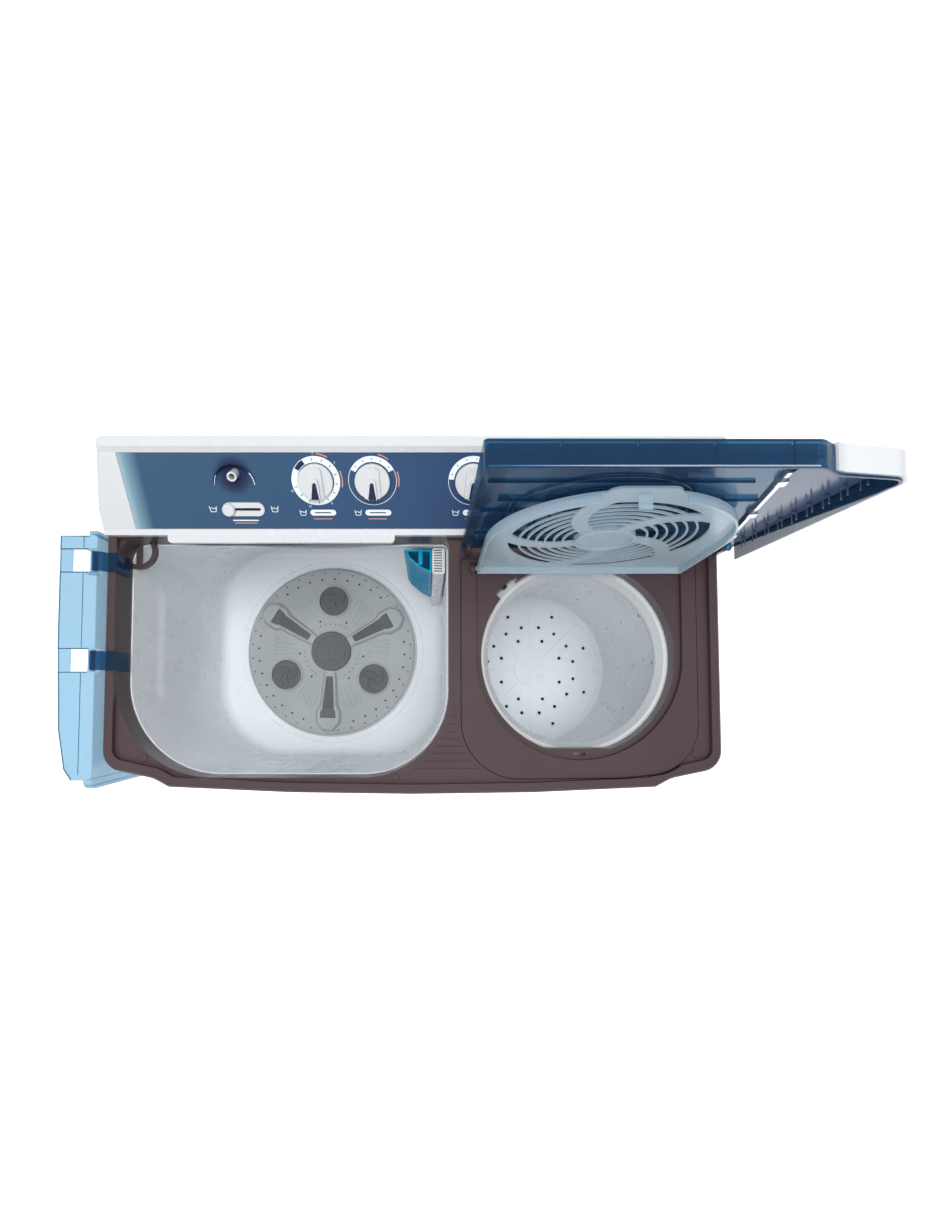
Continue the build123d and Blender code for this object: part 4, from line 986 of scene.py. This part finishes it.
# %% Numbers on the wash timer
def number(text, x, y, height):
    curve = bpy.data.curves.new("number", "FONT")
    curve.body = text
    curve.size = height
    curve.align_x, curve.align_y = "CENTER", "CENTER"
    curve.extrude = 0.05
    holder = bpy.data.objects.new("number", curve)
    bpy.context.scene.collection.objects.link(holder)
    bpy.context.view_layer.update()
    mesh = bpy.data.meshes.new_from_object(
        holder.evaluated_get(bpy.context.evaluated_depsgraph_get()))
    bpy.data.objects.remove(holder)
    points = [(v.co.x + x, v.co.y + y, v.co.z - 0.3) for v in mesh.vertices]
    faces = [tuple(p.vertices) for p in mesh.polygons]
    bpy.data.meshes.remove(mesh)
    return points, faces


digits = []
for i, text in enumerate(("0", "3", "6", "9", "12", "15")):
    for x in (KNOBS["wash_timer"], KNOBS["spin_timer"]):
        a = math.radians(92 - 50 * i)
        digits.append(number(text, x + 36.4 * math.cos(a), KNOB_V + 36.4 * math.sin(a), 4.2))
piece("timer_numbers", *moved(join(digits), PANEL), "cabinet", "white_plastic",
      finishes["print white"])
print("numbers", len(digits))

# %% Knob pointers
for name, x in KNOBS.items():
    at = Matrix.Translation((x, KNOB_V, 0))
    wedge = prism([(-2.3, -1.5), (-5.6, -20.5), (5.6, -20.5), (2.3, -1.5)], 15.02, 17.15)
    pin = disc(1.9, 16.2, 17.25, 16)
    parts = [moved(outward(wedge), at), moved(pin, at)]
    piece(name + "_pointer", *moved(join(parts), PANEL), name + "_knob", "panel_blue",
          finishes["print navy"])
    rim = tube([(x + 23.0 * math.cos(a), KNOB_V + 23.0 * math.sin(a), 6.1)
                for a in [2 * math.pi * k / 64 for k in range(64)]], 0.8, 8, True)
    piece(name + "_rim", *moved(outward(rim), PANEL), name + "_knob", "white_plastic",
          finishes["white plastic"])
print("pointers", len(KNOBS))

# %% The spout's scoop
scoop = outward(band(-241, 62, 28.2, 29.6, 4, 176, -0.4, 0.15, 40))
# two pale strokes on the scoop's rim are painted highlights
shine = outward(tube([(p[0], p[1], 0.1) for p in arc(-241, 62, 27.4, 2, 38, 12)], 0.7, 6))
glint = outward(tube([(p[0], p[1], 0.1) for p in arc(-241, 62, 27.4, 150, 178, 10)], 0.45, 6))
piece("scoop_edge", *moved(scoop, PANEL), "cabinet", "panel_blue", finishes["print navy"])
piece("scoop_glints", *moved(join([shine, glint]), PANEL), "cabinet", "white_plastic",
      finishes["print white"])
print("scoop edge done")

# %% [markdown]
# ## Ribs in the spin lid
# The tinted lid is a tray stiffened by ribs. From above, with the lid standing open, they
# show through as darker lines: four across the front lip, arches down the slate-coloured
# right side, and low rings behind the inner lid. The lid is drawn as if closed, and one
# matrix stands it up about its hinge.

# %% The open lid's matrix
HINGE_Y, HINGE_Z = 105.0, 948.0
OPENED = (Matrix.Translation((0, HINGE_Y, HINGE_Z)) @ Matrix.Rotation(math.radians(-90), 4, "X")
          @ Matrix.Translation((0, -HINGE_Y, -HINGE_Z)))
PLATE_UNDER = HINGE_Z


def bar(x0, x1, y0, y1, z0, z1):
    return outward(prism([(x0, y0), (x1, y0), (x1, y1), (x0, y1)], z0, z1))


backing = outward(prism([(376, -214), (430, -198), (441, -186), (441, 70), (424, 70),
                         (362, -172), (362, -205)], PLATE_UNDER - 1.6, PLATE_UNDER - 0.4))
piece("spin_lid_side_panel", *moved(backing, OPENED), "spin_lid", "lid_dark_blue",
      finishes["slate clear"])
arch_path = [(-7.5, 0, -13), (-7.5, 0, -4.5), (-6, 0, -2.4), (0, 0, -1.8), (6, 0, -2.4),
             (7.5, 0, -4.5), (7.5, 0, -13)]
clear_dark = finishes["dark blue clear"]
turn_up = Matrix.Rotation(math.radians(76), 4, "Z")
arch = outward(moved(tube([(x, 0, z + 2) for x, y, z in arch_path], 0.9, 6), turn_up))
closed_mesh = line_copies(arch, finishes["slate clear"], 9, (431, -170, PLATE_UNDER - 3),
                          (0.0, 27.0, 0.0))
closed_mesh.transform(Matrix.Translation(Vector((0, HINGE_Y, HINGE_Z)) * MM)
                      @ Matrix.Rotation(math.radians(-90), 4, "X")
                      @ Matrix.Translation(Vector((0, -HINGE_Y, -HINGE_Z)) * MM))
gathered("spin_lid_arches", [closed_mesh], "spin_lid", "lid_dark_blue")

# %% Low ribs and rings under the lid's plate
under = []
for x in (110, 150, 190, 230, 270, 310):
    under.append(bar(x - 0.8, x + 0.8, -96, 60, PLATE_UNDER - 3.2, PLATE_UNDER))
for y in (-150, -60, 30):
    under.append(bar(80, 340, y - 0.8, y + 0.8, PLATE_UNDER - 2.6, PLATE_UNDER))
for radius in (60, 96):
    under.append(outward(tube([(p[0], p[1], PLATE_UNDER - 1.5)
                               for p in arc(212, -70, radius, 0, 355, 72)], 1.1, 6, True)))
under.append(bar(72, 352, -221.6, -220.6, PLATE_UNDER - 15, PLATE_UNDER))
piece("spin_lid_ribs", *moved(join(under), OPENED), "spin_lid", "lid_dark_blue", clear_dark)
print("ribs", len(under))

# %% [markdown]
# ## Edges and pockets of the wash lid
# The hanging lid shows its deep side as a pale tinted band. Clear plastic gathers colour at
# its edges, so the band has a dark outline, a darker line along its fold, and a pane in each
# pocket where a hinge bracket enters.

# %% Wash lid lines
BAND_TOP = 939.4
lid_edge = [(-472.5, -218.5), (-482.4, -204.6), (-491.3, -150), (-495.2, -30), (-495.2, 122.6),
            (-456, 122.6)]
lines = [tube([(x, y, BAND_TOP) for x, y in lid_edge], 0.75, 6)]
for y0, y1 in ((-212, -71), (-35, 70), (106, 122)):
    lines.append(tube([(-463, y0, BAND_TOP), (-463, (y0 + y1) / 2, BAND_TOP),
                       (-463, y1, BAND_TOP)], 0.6, 6))
for middle in (88, -53):
    for side in (-16.6, 16.6):
        lines.append(tube([(-495, middle + side, BAND_TOP), (-478, middle + side, BAND_TOP),
                           (-456, middle + side, BAND_TOP)], 0.7, 6))
piece("wash_lid_lines", *outward(join(lines)), "wash_lid", "lid_dark_blue",
      finishes["dark blue clear"])
panes = [outward(prism([(-494.5, m - 15.3), (-477.5, m - 15.3), (-477.5, m + 15.3),
                        (-494.5, m + 15.3)], 938.2, 939.4)) for m in (88, -53)]
piece("wash_lid_panes", *join(panes), "wash_lid", "lid_light_blue",
      finishes["light blue clear"])
print("wash lid lines", len(lines), "panes", len(panes))

# %% [markdown]
# ## Lines on the spin lid's lip
# The standing lid's front lip is the part nearest the eye. Its ribs read as dark lines across
# it, and its lower edge catches the light as one pale line.

# %% Lip lines
LIP_Y = -237.25
ribs = [tube([(x, LIP_Y, 929), (x, LIP_Y, 939), (x, LIP_Y, 949)], 0.6, 6)
        for x in (133, 197, 261, 325)]
ribs.append(tube([(70, LIP_Y, 949.6), (210, LIP_Y, 949.6), (348, LIP_Y, 949.6)], 0.6, 6))
piece("spin_lid_lip_ribs", *moved(outward(join(ribs)), OPENED), "spin_lid", "lid_dark_blue",
      finishes["dark blue clear"])
pale = tube([(72, LIP_Y, 928.2), (210, LIP_Y, 928.2), (346, LIP_Y, 928.2)], 0.7, 6)
piece("spin_lid_lip_glint", *moved(outward(pale), OPENED), "spin_lid", "inner_lid_pale",
      finishes["milky clear"])
print("lip ribs", len(ribs))

# %% [markdown]
# ## Floor
# The machine stands on a wide pale floor. It glows faintly, so that it stays near white
# everywhere, with only a soft contact shadow.

# %% Floor
floor_finish = solid_finish("pale floor", (0.93, 0.94, 0.95), 0.6, 0.01, 60, 0.05)
floor_shader = floor_finish.node_tree.nodes["Principled BSDF"]
floor_shader.inputs["Emission Color"].default_value = (1, 1, 1, 1)
floor_shader.inputs["Emission Strength"].default_value = 0.66
REACH = 9000
floor_mesh = make_mesh("floor", [(-REACH, -REACH, -0.5), (REACH, -REACH, -0.5),
                                 (REACH, REACH, -0.5), (-REACH, REACH, -0.5)],
                       [(0, 1, 2, 3)], floor_finish)
floor = bpy.data.objects.new("floor", floor_mesh)
bpy.context.scene.collection.objects.link(floor)
print("floor", 2 * REACH * MM, "m wide")
